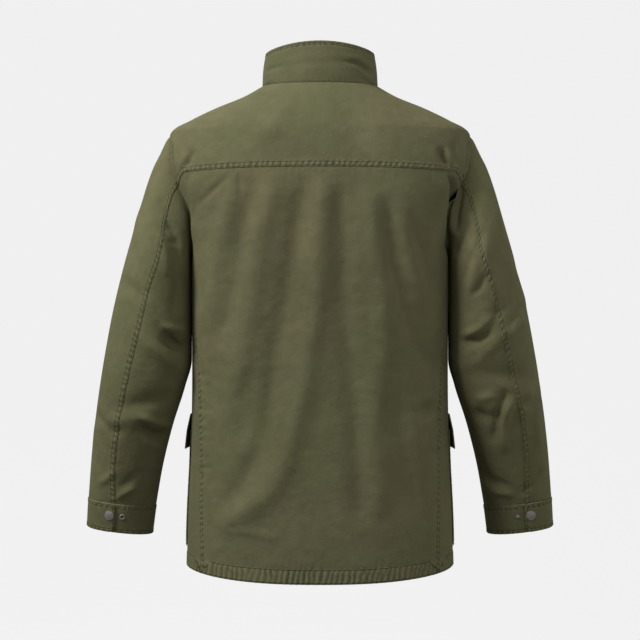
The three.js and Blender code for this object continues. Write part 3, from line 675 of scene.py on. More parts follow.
@dataclass
class Mesh:
    """Points and faces on their way to Blender, in millimetres."""

    points: np.ndarray
    quads: np.ndarray
    triangles: np.ndarray
    uv: np.ndarray | None = None
    wear: np.ndarray | None = None
    seam: np.ndarray | None = None

    @classmethod
    def shell(cls, panel: Panel) -> "Mesh":
        """Close a panel into a thin wall with a rounded rim.

        Args:
            panel: The outer cloth.

        Returns:
            The closed mesh.
        """
        rows, columns = panel.points.shape[:2]
        normals = panel.normals()
        inner = panel.points - normals * panel.wall[..., None]
        index = np.arange(rows * columns).reshape(rows, columns)
        ring = np.concatenate([index[0], index[1:, -1], index[-1, -2::-1], index[-2:0:-1, 0]])
        i, j = np.divmod(ring, columns)
        i_in, j_in = np.clip(i, 1, rows - 2), np.clip(j, 1, columns - 2)
        outward = unit(panel.points[i, j] - panel.points[i_in, j_in])
        middle = (panel.points[i, j] + inner[i, j]) / 2
        rim = middle + outward * (panel.wall[i, j] * 0.45)[:, None]
        count = rows * columns
        a, b, c, d = index[:-1, :-1], index[1:, :-1], index[1:, 1:], index[:-1, 1:]
        outer = np.stack([a, b, c, d], axis=-1).reshape(-1, 4)
        if panel.sense < 0:
            outer = outer[:, ::-1]
        under = outer[:, ::-1] + count
        here, after = ring, np.roll(ring, -1)
        lip = 2 * count + np.arange(len(ring))
        lip_after = np.roll(lip, -1)
        upper = np.stack([here, after, lip_after, lip], axis=-1)
        lower = np.stack([lip, lip_after, after + count, here + count], axis=-1)
        edge = np.concatenate([upper, lower])
        if panel.sense < 0:
            edge = edge[:, ::-1]
        across, down = panel.away(Edge.FIRST), panel.away(Edge.TOP)
        flat = np.stack([across - across[:, columns // 2, None], -down], axis=-1).reshape(-1, 2)
        wear, seam = panel.wear.reshape(-1), panel.seam.reshape(-1, 3)
        return cls(
            np.concatenate([panel.points.reshape(-1, 3), inner.reshape(-1, 3), rim]),
            np.concatenate([outer, under, edge]),
            NO_TRIANGLES,
            np.concatenate([flat, flat, flat[ring]]) * MM,
            np.concatenate([wear, wear, wear[ring] + 0.1]),
            np.concatenate([seam, seam, seam[ring]]),
        )

    def piece(self, name: str, material: bpy.types.Material) -> bpy.types.Object:
        """Make the Blender object.

        Args:
            name: The object's name.
            material: Its finish.

        Returns:
            The object, in metres.
        """
        data = bpy.data.meshes.new(name)
        corners = np.concatenate([self.quads.reshape(-1), self.triangles.reshape(-1)]).astype(np.int32)
        sizes = np.concatenate([np.full(len(self.quads), 4), np.full(len(self.triangles), 3)])
        starts = np.concatenate([[0], np.cumsum(sizes)[:-1]]).astype(np.int32)
        data.vertices.add(len(self.points))
        data.vertices.foreach_set("co", (self.points * MM).astype(np.float32).ravel())
        data.loops.add(len(corners))
        data.loops.foreach_set("vertex_index", corners)
        data.polygons.add(len(sizes))
        data.polygons.foreach_set("loop_start", starts)
        data.update(calc_edges=True)
        data.polygons.foreach_set("use_smooth", np.ones(len(sizes), bool))
        if self.uv is not None:
            layer = data.uv_layers.new(name="cloth")
            layer.data.foreach_set("uv", self.uv[corners].astype(np.float32).ravel())
        if self.wear is not None:
            wear = data.attributes.new("wear", "FLOAT", "POINT")
            wear.data.foreach_set("value", self.wear.astype(np.float32))
        if self.seam is not None:
            seam = data.attributes.new("seam", "FLOAT_VECTOR", "POINT")
            seam.data.foreach_set("vector", self.seam.astype(np.float32).ravel())
        data.validate()
        data.materials.append(material)
        made = bpy.data.objects.new(name, data)
        bpy.context.scene.collection.objects.link(made)
        return made


Socket = bpy.types.NodeSocket
Input = float | tuple[float, ...] | Socket


@dataclass
class Graph:
    """A material's node tree, with short ways to add to it."""

    material: bpy.types.Material

    @classmethod
    def named(cls, name: str) -> "Graph":
        """Start an empty material.

        Args:
            name: The material's name.

        Returns:
            Its graph.
        """
        material = bpy.data.materials.new(name)
        material.use_nodes = True
        material.node_tree.nodes.clear()
        return cls(material)

    def add(self, kind: str, settings: dict | None = None, **inputs: Input) -> bpy.types.Node:
        """Add a node.

        Args:
            kind: The node's type.
            settings: Its properties.
            **inputs: Its sockets by name, with underscores for spaces, or by number, as n0.

        Returns:
            The node.
        """
        node = self.material.node_tree.nodes.new(kind)
        for key, value in (settings or {}).items():
            setattr(node, key, value)
        for key, value in inputs.items():
            numbered = key[0] == "n" and key[1:].isdigit()
            self.put(node.inputs[int(key[1:]) if numbered else key.replace("_", " ")], value)
        return node

    def put(self, socket: Socket, value: Input) -> None:
        """Link another socket to this one, or set its value.

        Args:
            socket: The input.
            value: A socket or a value.
        """
        if isinstance(value, Socket):
            self.material.node_tree.links.new(value, socket)
        else:
            socket.default_value = value

    def finish(self, surface: Socket) -> bpy.types.Material:
        """Link the output and hand the material over."""
        self.add("ShaderNodeOutputMaterial", Surface=surface)
        return self.material

    def blend(self, share: Input, first: Input, second: Input) -> Socket:
        """Mix two colours by the share of the second."""
        return self.add("ShaderNodeMix", {"data_type": "RGBA"}, n0=share, n6=first, n7=second).outputs[2]

    def noise(self, place: Socket, scale: float, detail: float = 3.0) -> Socket:
        """Read a noise."""
        return self.add("ShaderNodeTexNoise", Vector=place, Scale=scale, Detail=detail).outputs["Fac"]

    def math(self, operation: str, first: Input, second: Input = 0.0, clamp: bool = False) -> Socket:
        """Work on one or two values, kept from 0 to 1 where clamp says so."""
        settings = {"operation": operation, "use_clamp": clamp}
        return self.add("ShaderNodeMath", settings, n0=first, n1=second).outputs[0]

    def times(self, first: Input, second: Input, clamp: bool = False) -> Socket:
        """Multiply two values."""
        return self.math("MULTIPLY", first, second, clamp)

    def bump(self, height: Input, strength: float, distance: float, over: Input | None = None) -> Socket:
        """Raise the surface by a height, over another bump where one is given."""
        inputs = {"Strength": strength, "Distance": distance, "Height": height}
        return self.add("ShaderNodeBump", **inputs, **({} if over is None else {"Normal": over})).outputs[0]

    def ramp(self, value: Socket, low: float, high: float) -> Socket:
        """Spread a value from low to high over 0 to 1."""
        return self.add("ShaderNodeMapRange", n0=value, n1=low, n2=high).outputs[0]


def shaded(colour: tuple[float, float, float], gain: float) -> tuple[float, float, float, float]:
    """Darken or lighten a colour, for a socket."""
    return (*[part * gain for part in colour], 1)


@dataclass(frozen=True)
class Gathers:
    """The rungs that stitching draws up in a seam's band, with painted shade in the valleys between them and
    along its stitch rows.
    """

    period: float = 8.6
    height: float = 1.0
    first_row: float = 1.8
    groove: float = 0.4
    uneven: float = 0.4
    valley_shade: float = 0.38
    row_shade: float = 0.52

    def build(self, graph: Graph, solid: Socket) -> dict[str, Socket]:
        """Add the nodes that read the seam attribute, which holds along, away and width in millimetres.

        Args:
            graph: The material's graph.
            solid: The object coordinates.

        Returns:
            The sockets "height" in millimetres, "ridge" and "shade", the strength of the painted shade.
        """
        seam = graph.add("ShaderNodeAttribute", {"attribute_name": "seam"}).outputs["Vector"]
        split = graph.add("ShaderNodeSeparateXYZ", Vector=seam)
        along, away, width = split.outputs[0], split.outputs[1], split.outputs[2]
        stray = graph.times(graph.noise(solid, 42.0, 2.0), 9.0)
        lean = graph.times(away, 0.16)
        phase = graph.math("ADD", graph.times(along, 2 * math.pi / self.period), stray)
        rung = graph.ramp(graph.math("SINE", graph.math("ADD", phase, lean)), -0.7, 0.8)
        past = graph.math("SUBTRACT", away, width)
        inside = graph.times(graph.ramp(away, 0.2, 1.8), graph.ramp(past, 2.6, -1.2))
        present = graph.ramp(width, 1.0, 3.0)
        uneven = graph.times(graph.ramp(graph.noise(solid, 15.0, 2.0), 0.4, 0.6), self.uneven)
        uneven = graph.math("ADD", uneven, 1 - self.uneven)
        band = graph.times(graph.times(inside, present), uneven)
        near_first = graph.ramp(graph.math("ABSOLUTE", graph.math("SUBTRACT", away, self.first_row)), 1.1, 0.2)
        near_second = graph.ramp(graph.math("ABSOLUTE", graph.math("ADD", past, 0.6)), 1.3, 0.2)
        rows = graph.times(graph.math("MAXIMUM", near_first, near_second), present)
        ridge = graph.times(rung, band)
        height = graph.math("SUBTRACT", graph.times(ridge, self.height), graph.times(rows, self.groove))
        # painted shade: the valleys between the rungs and the sunk stitch rows are darkened in the colour
        valley = graph.times(graph.math("SUBTRACT", band, ridge), self.valley_shade)
        shade = graph.math("ADD", valley, graph.times(rows, self.row_shade), clamp=True)
        return {"height": height, "ridge": ridge, "shade": shade}


@dataclass(frozen=True)
class Twill:
    """Washed cotton twill: a fine diagonal rib, soft mottled fading, gathered, paler seams, and painted shade
    in the seams' valleys and stitch rows.
    """

    name: str
    colour: tuple[float, float, float] = (0.119, 0.115, 0.058)
    faded: tuple[float, float, float] = (0.178, 0.170, 0.092)
    deep: tuple[float, float, float] = (0.066, 0.064, 0.031)
    green: tuple[float, float, float] = (0.108, 0.113, 0.056)
    brown: tuple[float, float, float] = (0.126, 0.112, 0.060)
    rib: float = 0.0011
    seam_wear: float = 0.5
    gathers: Gathers = Gathers()

    def tone(self, graph: Graph, solid: Socket, seam: dict) -> Socket:
        """Mix the cloth's colour, with painted shade from the gathers.

        Args:
            graph: The material's graph.
            solid: The object coordinates.
            seam: The sockets of the gathers, with their painted shade.

        Returns:
            The colour's socket.
        """
        wear = graph.add("ShaderNodeAttribute", {"attribute_name": "wear"}).outputs["Fac"]
        cast = graph.ramp(graph.noise(solid, 6.5, 2.0), 0.42, 0.6)
        colour = graph.blend(cast, (*self.green, 1), (*self.brown, 1))
        colour = graph.blend(0.5, colour, (*self.colour, 1))
        wash = (16.0, 4.0, 0.42, 0.68, 0.3, self.faded)
        mottle = (70.0, 5.0, 0.3, 0.75, 0.3, self.deep)
        fleck = (900.0, 2.0, 0.3, 0.7, 0.2, self.faded)
        for scale, detail, low, high, share, tint in (wash, mottle, fleck):
            patch = graph.times(graph.ramp(graph.noise(solid, scale, detail), low, high), share)
            colour = graph.blend(patch, colour, (*tint, 1))
        streak = graph.ramp(graph.noise(solid, 260.0, 3.0), 0.42, 0.62)
        rubbed = graph.times(graph.times(wear, streak), self.seam_wear, clamp=True)
        colour = graph.blend(rubbed, colour, (*self.faded, 1))
        colour = graph.blend(graph.times(seam["ridge"], 0.3), colour, (*self.faded, 1))
        # painted shade: the gathers' valleys and stitch rows are darkened towards the deep tone
        return graph.blend(seam["shade"], colour, shaded(self.deep, 0.7))

    def material(self) -> bpy.types.Material:
        """Build the cloth.

        Returns:
            The material.
        """
        graph = Graph.named(self.name)
        places = graph.add("ShaderNodeTexCoord")
        flat, solid = places.outputs["UV"], places.outputs["Object"]
        seam = self.gathers.build(graph, solid)
        wave = {"Vector": flat, "Scale": 0.444 / self.rib, "Distortion": 0.6, "Detail": 1.0}
        ribs = graph.add("ShaderNodeTexWave", {"bands_direction": "DIAGONAL"}, **wave).outputs["Fac"]
        relief = graph.bump(ribs, 0.35, 0.00025)
        relief = graph.bump(graph.noise(solid, 420.0, 3.0), 0.4, 0.0005, relief)
        relief = graph.bump(graph.noise(solid, 55.0, 4.0), 0.6, 0.0028, relief)
        relief = graph.bump(seam["height"], 1.0, 0.001, relief)
        surface = graph.add(
            "ShaderNodeBsdfPrincipled",
            Base_Color=self.tone(graph, solid, seam),
            Roughness=0.88,
            Specular_IOR_Level=0.1,
            Sheen_Weight=0.12,
            Sheen_Tint=(0.5, 0.48, 0.26, 1.0),
            Sheen_Roughness=0.5,
            Normal=relief,
        )
        return graph.finish(surface.outputs[0])


@dataclass(frozen=True)
class Thread:
    """Matt sewing thread, twisted."""

    name: str = "olive_thread"
    colour: tuple[float, float, float] = (0.130, 0.125, 0.064)

    def material(self) -> bpy.types.Material:
        """Build the thread.

        Returns:
            The material.
        """
        graph = Graph.named(self.name)
        place = graph.add("ShaderNodeTexCoord").outputs["Object"]
        twist = graph.noise(place, 1500.0, 1.0)
        colour = graph.blend(twist, shaded(self.colour, 0.75), shaded(self.colour, 1.3))
        gloss = {"Roughness": 0.7, "Specular_IOR_Level": 0.3}
        surface = graph.add("ShaderNodeBsdfPrincipled", Base_Color=colour, **gloss)
        return graph.finish(surface.outputs[0])


@dataclass(frozen=True)
class Pewter:
    """Dull grey snap metal, tarnished darker in random patches."""

    name: str = "dull_pewter"
    colour: tuple[float, float, float] = (0.30, 0.29, 0.26)
    roughness: float = 0.58

    def material(self) -> bpy.types.Material:
        """Build the metal.

        Returns:
            The material.
        """
        graph = Graph.named(self.name)
        place = graph.add("ShaderNodeTexCoord").outputs["Object"]
        tarnish = graph.ramp(graph.noise(place, 300.0, 4.0), 0.35, 0.7)
        colour = graph.blend(tarnish, (*self.colour, 1), shaded(self.colour, 0.6))
        relief = graph.bump(graph.noise(place, 3000.0, 2.0), 0.25, 0.0001)
        surface = graph.add(
            "ShaderNodeBsdfPrincipled",
            Base_Color=colour,
            Metallic=0.55,
            Roughness=self.roughness,
            Normal=relief,
        )
        return graph.finish(surface.outputs[0])


@dataclass(frozen=True)
class Paper:
    """The plain pale studio backdrop."""

    name: str = "pale_backdrop"
    colour: tuple[float, float, float] = (0.06, 0.06, 0.06)
    glow: float = 0.84

    def material(self) -> bpy.types.Material:
        """Build the backdrop.

        Returns:
            The material.
        """
        graph = Graph.named(self.name)
        surface = graph.add(
            "ShaderNodeBsdfPrincipled",
            Base_Color=(*self.colour, 1),
            Roughness=0.95,
            Specular_IOR_Level=0.1,
            Emission_Color=(1, 1, 1, 1),
            Emission_Strength=self.glow,
        )
        return graph.finish(surface.outputs[0])


@dataclass
class Finishes:
    """Every finish, built once."""

    cloth: bpy.types.Material
    sleeve: bpy.types.Material
    trim: bpy.types.Material
    thread: bpy.types.Material
    metal: bpy.types.Material
    backdrop: bpy.types.Material

    @classmethod
    def build(cls) -> "Finishes":
        """Build them all.

        Returns:
            The finishes.
        """
        return cls(
            cloth=Twill("olive_twill").material(),
            sleeve=Twill("olive_twill_sleeve", colour=(0.113, 0.110, 0.051)).material(),
            trim=Twill("olive_twill_doubled", colour=(0.101, 0.099, 0.050), seam_wear=0.6).material(),
            thread=Thread().material(),
            metal=Pewter().material(),
            backdrop=Paper().material(),
        )


@dataclass
class Stitching:
    """Rows of topstitches, each stitch a small raised grain of thread."""

    name: str
    pitch: float = 3.3
    length: float = 2.5
    half: float = 0.34
    proud: float = 0.42
    runs: list[Run] = field(default_factory=list)

    def add(self, *runs: Run) -> None:
        """Add rows to sew."""
        self.runs.extend(runs)

    def sew(self, finishes: Finishes) -> None:
        """Make all the stitches as one piece.

        Args:
            finishes: The finishes.
        """
        parts = [run.spaced(self.pitch) for run in self.runs]
        centre, ahead, out = (np.concatenate([part[k] for part in parts]) for k in range(3))
        side = unit(np.cross(out, ahead))
        reach, near = self.length / 2, self.length * 0.3
        shape = [(-reach, 0, -0.1)]
        for far in (-near, near):
            shape += [(far, -self.half, -0.1), (far, 0, self.proud), (far, self.half, -0.1)]
        shape += [(reach, 0, -0.1)]
        local = np.array(shape)
        points = (
            centre[:, None]
            + ahead[:, None] * local[None, :, 0, None]
            + side[:, None] * local[None, :, 1, None]
            + out[:, None] * local[None, :, 2, None]
        )
        quads = np.array([(1, 4, 5, 2), (2, 5, 6, 3), (3, 6, 4, 1)])
        triangles = np.array([(0, 1, 2), (0, 2, 3), (0, 3, 1), (7, 5, 4), (7, 6, 5), (7, 4, 6)])
        starts = (np.arange(len(centre)) * len(local))[:, None, None]
        mesh = Mesh(points.reshape(-1, 3), (quads + starts).reshape(-1, 4), (triangles + starts).reshape(-1, 3))
        made = mesh.piece(self.name, finishes.thread)
        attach(made, "root")
        LOG.info("%s: %d stitches", self.name, len(centre))


@dataclass(frozen=True)
class Snap:
    """One side of a press snap, turned from a profile of radius and height in millimetres."""

    profile: tuple[tuple[float, float], ...]
    height: float
    segments: int = 48

    def set_on(self, node: str, out: np.ndarray, finishes: Finishes) -> None:
        """Make it in its solid's place.

        Args:
            node: The solid that it stands for.
            out: The way it faces.
            finishes: The finishes.
        """
        out = unit(np.asarray(out, float))
        low, high = (np.array(corner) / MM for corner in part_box(node))
        base = (low + high) / 2 - out * self.height / 2
        side = unit(np.cross((0.0, 0.0, 1.0), out))
        other = np.cross(out, side)
        angle = np.linspace(0, 2 * math.pi, self.segments, endpoint=False)
        round_ = side * np.cos(angle)[:, None] + other * np.sin(angle)[:, None]
        rings = [base + round_ * radius + out * height for radius, height in self.profile]
        k = np.arange(self.segments)
        after = (k + 1) % self.segments
        quads = [
            np.stack([k, after, after + self.segments, k + self.segments], axis=1) + i * self.segments
            for i in range(len(rings) - 1)
        ]
        mesh = Mesh(np.concatenate(rings), np.concatenate(quads), NO_TRIANGLES)
        made = mesh.piece(f"{node}_metal", finishes.metal)
        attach(made, "root")
        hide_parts(node)
        LOG.info("%s: %d faces", made.name, len(quads) * self.segments)


CAP_RIM = ((0.05, -0.3), (7.3, -0.3), (7.5, 0.2), (7.5, 0.9), (7.2, 1.35), (6.7, 1.5), (6.3, 1.3))
CAP_DOME = ((6.0, 1.25), (5.6, 1.5), (4.5, 1.75), (3.0, 1.95), (1.5, 2.05), (0.05, 2.08))
SOCKET_WALL = ((2.2, -0.1), (4.4, -0.1), (4.5, 0.5), (4.2, 1.1), (3.6, 1.35))
SOCKET_BORE = ((2.9, 1.3), (2.4, 0.9), (2.2, 0.3), (2.2, -0.1))
STUD_FLANGE = ((0.05, -0.2), (3.2, -0.2), (3.2, 0.4), (2.7, 0.7), (1.6, 0.75))
STUD_POST = ((1.3, 1.2), (1.6, 1.7), (1.2, 2.0), (0.05, 2.1))
CAP = Snap(CAP_RIM + CAP_DOME, 3.0)
SOCKET = Snap(SOCKET_WALL + SOCKET_BORE, 1.4)
STUD = Snap(STUD_FLANGE + STUD_POST, 2.0)


class Cloth(Enum):
    """The cloth's uses, as the finish and a slot name that nothing reads."""

    BODY = ("cloth", "cloth")
    SLEEVE = ("sleeve", "cloth")
    DOUBLED = ("trim", "cloth_doubled")


@dataclass
class Piece:
    """What every piece of the jacket is made with: the body's form, the finishes and the rows to sew."""

    form: BodyForm
    finishes: Finishes
    stitches: Stitching

    def lay(
        self,
        panel: Panel,
        node: str,
        flat: tuple[float, float],
        area: float,
        cloth: Cloth = Cloth.BODY,
        name: str = "",
    ) -> None:
        """Make a panel's piece in its cloth's finish.

        Args:
            panel: The finished cloth.
            node: The solid that it stands for.
            flat: The cut's width and length in metres; not used.
            area: The cut's area in square metres; not used.
            cloth: Which cloth it is.
            name: What it is called, where that isn't the solid's name.
        """
        finish, slot = cloth.value
        made = Mesh.shell(panel).piece(f"{name or node}_cloth", getattr(self.finishes, finish))
        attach(made, "root")
        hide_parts(node)
        LOG.info("%s: %d faces, %.4f square metres", made.name, len(made.data.polygons), panel.area())


def side_nicks(x: float, top: float, foot: float, pitch: float) -> tuple[Crease, ...]:
    """Lay short crosswise creases beside a side seam, uneven in length and depth.

    Args:
        x: Where the seam lies.
        top: The Z of the first.
        foot: The Z of the last.
        pitch: The distance from one to the next.

    Returns:
        The creases.
    """
    nicks = []
    for k in range(int((top - foot) / pitch)):
        stray = math.sin(5.3 * k + x)
        z = top - k * pitch + 3 * stray
        reach = math.copysign(16 + 7 * math.sin(2.1 * k), x)
        nicks.append(Crease(((x, z), (x - reach, z + 4 * math.sin(3.7 * k))), 4.2, -0.9 - 0.4 * stray))
    return tuple(nicks)


BACK_CREASES = laid(
    (13, 2.4, 35, (130, -168), (139, -205), (152, -257), (163, -316), (173, -375)),
    (14, -3.2, 35, (101, -159), (108, -195), (118, -246), (127, -299), (138, -353), (151, -397)),
    (16, 3.0, 35, (67, -150), (77, -195), (89, -240), (95, -299), (104, -353), (114, -404), (121, -456)),
    (
        17, -3.8, 35,
        (22, -156), (36, -246), (46, -299), (55, -353), (64, -404), (70, -460), (92, -559), (139, -641),
    ),
    (
        17, 4.0, 35,
        (-4, -153), (0, -246), (6, -353), (17, -407), (22, -460), (51, -570), (74, -617), (145, -666),
    ),
    (16, -3.4, 35, (-34, -156), (-32, -195), (-37, -257), (-34, -317), (-41, -388), (-53, -522), (-62, -655)),
    (17, 3.6, 35, (-71, -168), (-84, -271), (-94, -335), (-94, -404), (-85, -463), (-79, -522), (-91, -641)),
    (
        13, -4.0, 35,
        (-97, -183), (-105, -234), (-112, -286), (-124, -338), (-137, -375), (-153, -407), (-168, -440),
    ),
    (12, 2.6, 35, (-118, -195), (-130, -249), (-144, -301), (-162, -345)),
    (11, -2.4, 35, (-134, -205), (-147, -249), (-165, -294), (-177, -323)),
    (16, -2.8, 35, (-106, -478), (-118, -537), (-130, -596), (-144, -655)),
    (15, 2.4, 35, (-136, -500), (-147, -574), (-159, -641)),
    (17, 2.4, 35, (136, -441), (139, -486), (145, -530)),
    (15, -2.0, 35, (104, -437), (108, -494), (118, -545)),
    (5, -2.0, 35, (180, -186), (136, -148)),
    (5, -1.4, 35, (120, -145), (117, -182)),
    (6, 1.4, 35, (136, -668), (66, -679)),
    (3, -1.2, 35, (137, -664), (120, -669)),
    (13, -5.5, 35, (-156, -484), (-167, -504)),
)
BACK_CREASES += side_nicks(182, -442, -615, 14.0) + side_nicks(-183, -470, -600, 23.0)
YOKE_CREASES = laid(
    (5, -2.6, 12, (193, -106), (199, -126), (203, -146)),
    (5, 1.6, 12, (202, -112), (209, -140)),
    (6, -3.4, 12, (-180, -104), (-189, -128), (-197, -152)),
    (5, 2.0, 12, (-190, -104), (-200, -134)),
    (5, -2.2, 12, (-198, -94), (-205, -131)),
    (16, 1.5, 35, (40, -30), (95, -100)),
    (18, -1.4, 35, (-30, -35), (-70, -110)),
)
FRONT_CREASES = laid(
    (16, -4, 35, (150, -190), (95, -330)),
    (15, 3.5, 35, (120, -170), (70, -300)),
    (16, -4, 35, (-150, -195), (-90, -340)),
    (15, 3.5, 35, (-118, -175), (-72, -310)),
    (18, -3, 35, (60, -400), (150, -500)),
    (18, -3, 35, (-65, -410), (-150, -500)),
)


def body_panel(form: BodyForm, drop: np.ndarray, turn: np.ndarray, wall: float = CLOTH_WALL) -> Panel:
    """Cut a panel out of the body's form.

    Args:
        form: The body.
        drop: The drop of each grid point.
        turn: The turn of each grid point.
        wall: The cloth's thickness.

    Returns:
        The panel.
    """
    points = form.point(drop, turn)
    middles = points.mean(axis=1)
    middles[:, :2] = 0
    return Panel(points, wall).face_away_from(middles)


def tip_drop(row: np.ndarray, away: np.ndarray) -> np.ndarray:
    """Tell how far the cloth drops at the shoulder's tip to meet the sleeve."""
    return 5.6 * bell(away, 0, 28) * bell(row, SHOULDER_DROP, 22)


@dataclass
class Yoke(Piece):
    """The back yoke, from the collar seam to the twin-stitched seam over the back."""

    rows: int = 62
    columns: int = 187
    welt: float = 8.0
    armhole_welt: float = 12.0
    crease_gain: float = 2.2
    flat: tuple[float, float] = (0.56, 0.19)

    def build(self) -> None:
        """Cut, sew and dress the yoke."""
        row = np.linspace(0, YOKE_DROP_ARMHOLE, self.rows)[:, None]
        across = np.linspace(-1, 1, self.columns)[None, :]
        drop = row * yoke_seam(across) / YOKE_DROP_ARMHOLE
        panel = body_panel(self.form, drop, across * self.form.edge_turn(row, Face.BACK))
        panel.crease(YOKE_CREASES, Face.BACK, self.crease_gain * ease(5, 14, panel.away(Edge.BOTTOM)))
        panel.welt(Edge.BOTTOM, self.welt, 0.6)
        panel.pucker(Edge.BOTTOM, Pucker(8.5, 0.5, 7, 3, lean=0.25))
        off_tip = 1 - bell(row, SHOULDER_DROP, 14) * np.ones_like(across)
        spread = off_tip * mix(1.85, 1.05, ease(95, 150, row))
        for seed, edge in enumerate(SIDE_EDGES):
            panel.mark(edge, self.armhole_welt, spread)
            panel.welt(edge, self.armhole_welt, 0.6, off_tip)
            panel.pucker(edge, Pucker(9.5, 0.4, 6, seed + 5, lean=-0.3), off_tip)
        for edge in SIDE_EDGES:
            panel.points[..., 2] -= tip_drop(row, panel.away(edge))
        self.stitches.add(*panel.twin(Edge.BOTTOM, 7.5))
        for edge in SIDE_EDGES:
            self.stitches.add(panel.run(edge, STITCH_INSET, 0.0, 0.98), panel.run(edge, 11.7, 0.02, 0.95))
        self.lay(panel, "back_yoke", self.flat, 0.075, name="yoke")


@dataclass(frozen=True)
class Pleat:
    """The pleat beside an armhole: cloth folded under its own edge and out again to the seam."""

    edge_x: float
    opens: float
    stand: float = 3.6
    valley: float = 15.0
    under: float = 1.1
    depth: float = 14.0
    rest: float = 0.4
    rim_steps: int = 6
    under_steps: int = 5
    turn_steps: int = 4
    strip_steps: int = 10

    def amount(self, row: np.ndarray) -> np.ndarray:
        """Tell how far the pleat is folded at each row."""
        return 1 - ease(UNDERARM_DROP - 37, UNDERARM_DROP + 13, row)

    def rise(self, row: np.ndarray) -> np.ndarray:
        """Tell how far it stands up at each row, sewn flat under the yoke."""
        return self.amount(row) * ease(YOKE_DROP_ARMHOLE + 0.5, YOKE_DROP_ARMHOLE + 22, row)

    def sink(self, row: np.ndarray) -> np.ndarray:
        """Tell how deep the cloth beyond it sinks at each row, between its edge and the armhole seam."""
        upper = ease(YOKE_DROP_ARMHOLE + self.opens - 13, YOKE_DROP_ARMHOLE + self.opens + 8, row)
        return self.valley * upper * (1 - ease(UNDERARM_DROP - 30, UNDERARM_DROP + 20, row))

    @property
    def folded_steps(self) -> int:
        """How many columns lie round the rim and under the fold."""
        return self.rim_steps + self.under_steps + self.turn_steps

    def profile(self, row: np.ndarray, seam: np.ndarray) -> tuple[np.ndarray, np.ndarray]:
        """Walk from the folded edge down, under, back out and on to the armhole seam.

        Args:
            row: Drops below the neck, in one column.
            seam: How far beyond the folded edge the seam lies at each row.

        Returns:
            How far each column lies beyond the folded edge, and its height off the body.
        """
        radius, middle = (self.stand - self.under) / 2, (self.stand + self.under) / 2
        rim = np.linspace(math.pi / 2, -math.pi / 2, self.rim_steps + 1)[1:]
        turn = np.linspace(math.pi / 2, -math.pi / 2, self.turn_steps + 1)[1:]
        inward = np.linspace(0, -self.depth, self.under_steps + 1)[1:]
        beyond = np.concatenate([radius * np.cos(rim), inward, -self.depth - self.under / 2 * np.cos(turn)])
        rounded = [middle + radius * np.sin(rim), self.under / 2 * (1 + np.sin(turn))]
        height = np.concatenate([rounded[0], np.full(len(inward), self.under), rounded[1]])
        amount = self.amount(row)
        beyond = amount * beyond + (1 - amount) * self.rest * np.arange(1, len(beyond) + 1)
        height = self.rise(row) * height
        share = np.linspace(0, 1, self.strip_steps + 1)[None, 1:]
        strip = mix(beyond[:, -1:], seam, share)
        falling = np.sin(math.pi / 2 * np.clip(share / 0.3, 0, 1))
        sunk = -self.sink(row) * falling * (1 - 0.45 * np.clip((share - 0.3) / 0.7, 0, 1) ** 2)
        return np.concatenate([beyond, strip], axis=1), np.concatenate([height, sunk], axis=1)


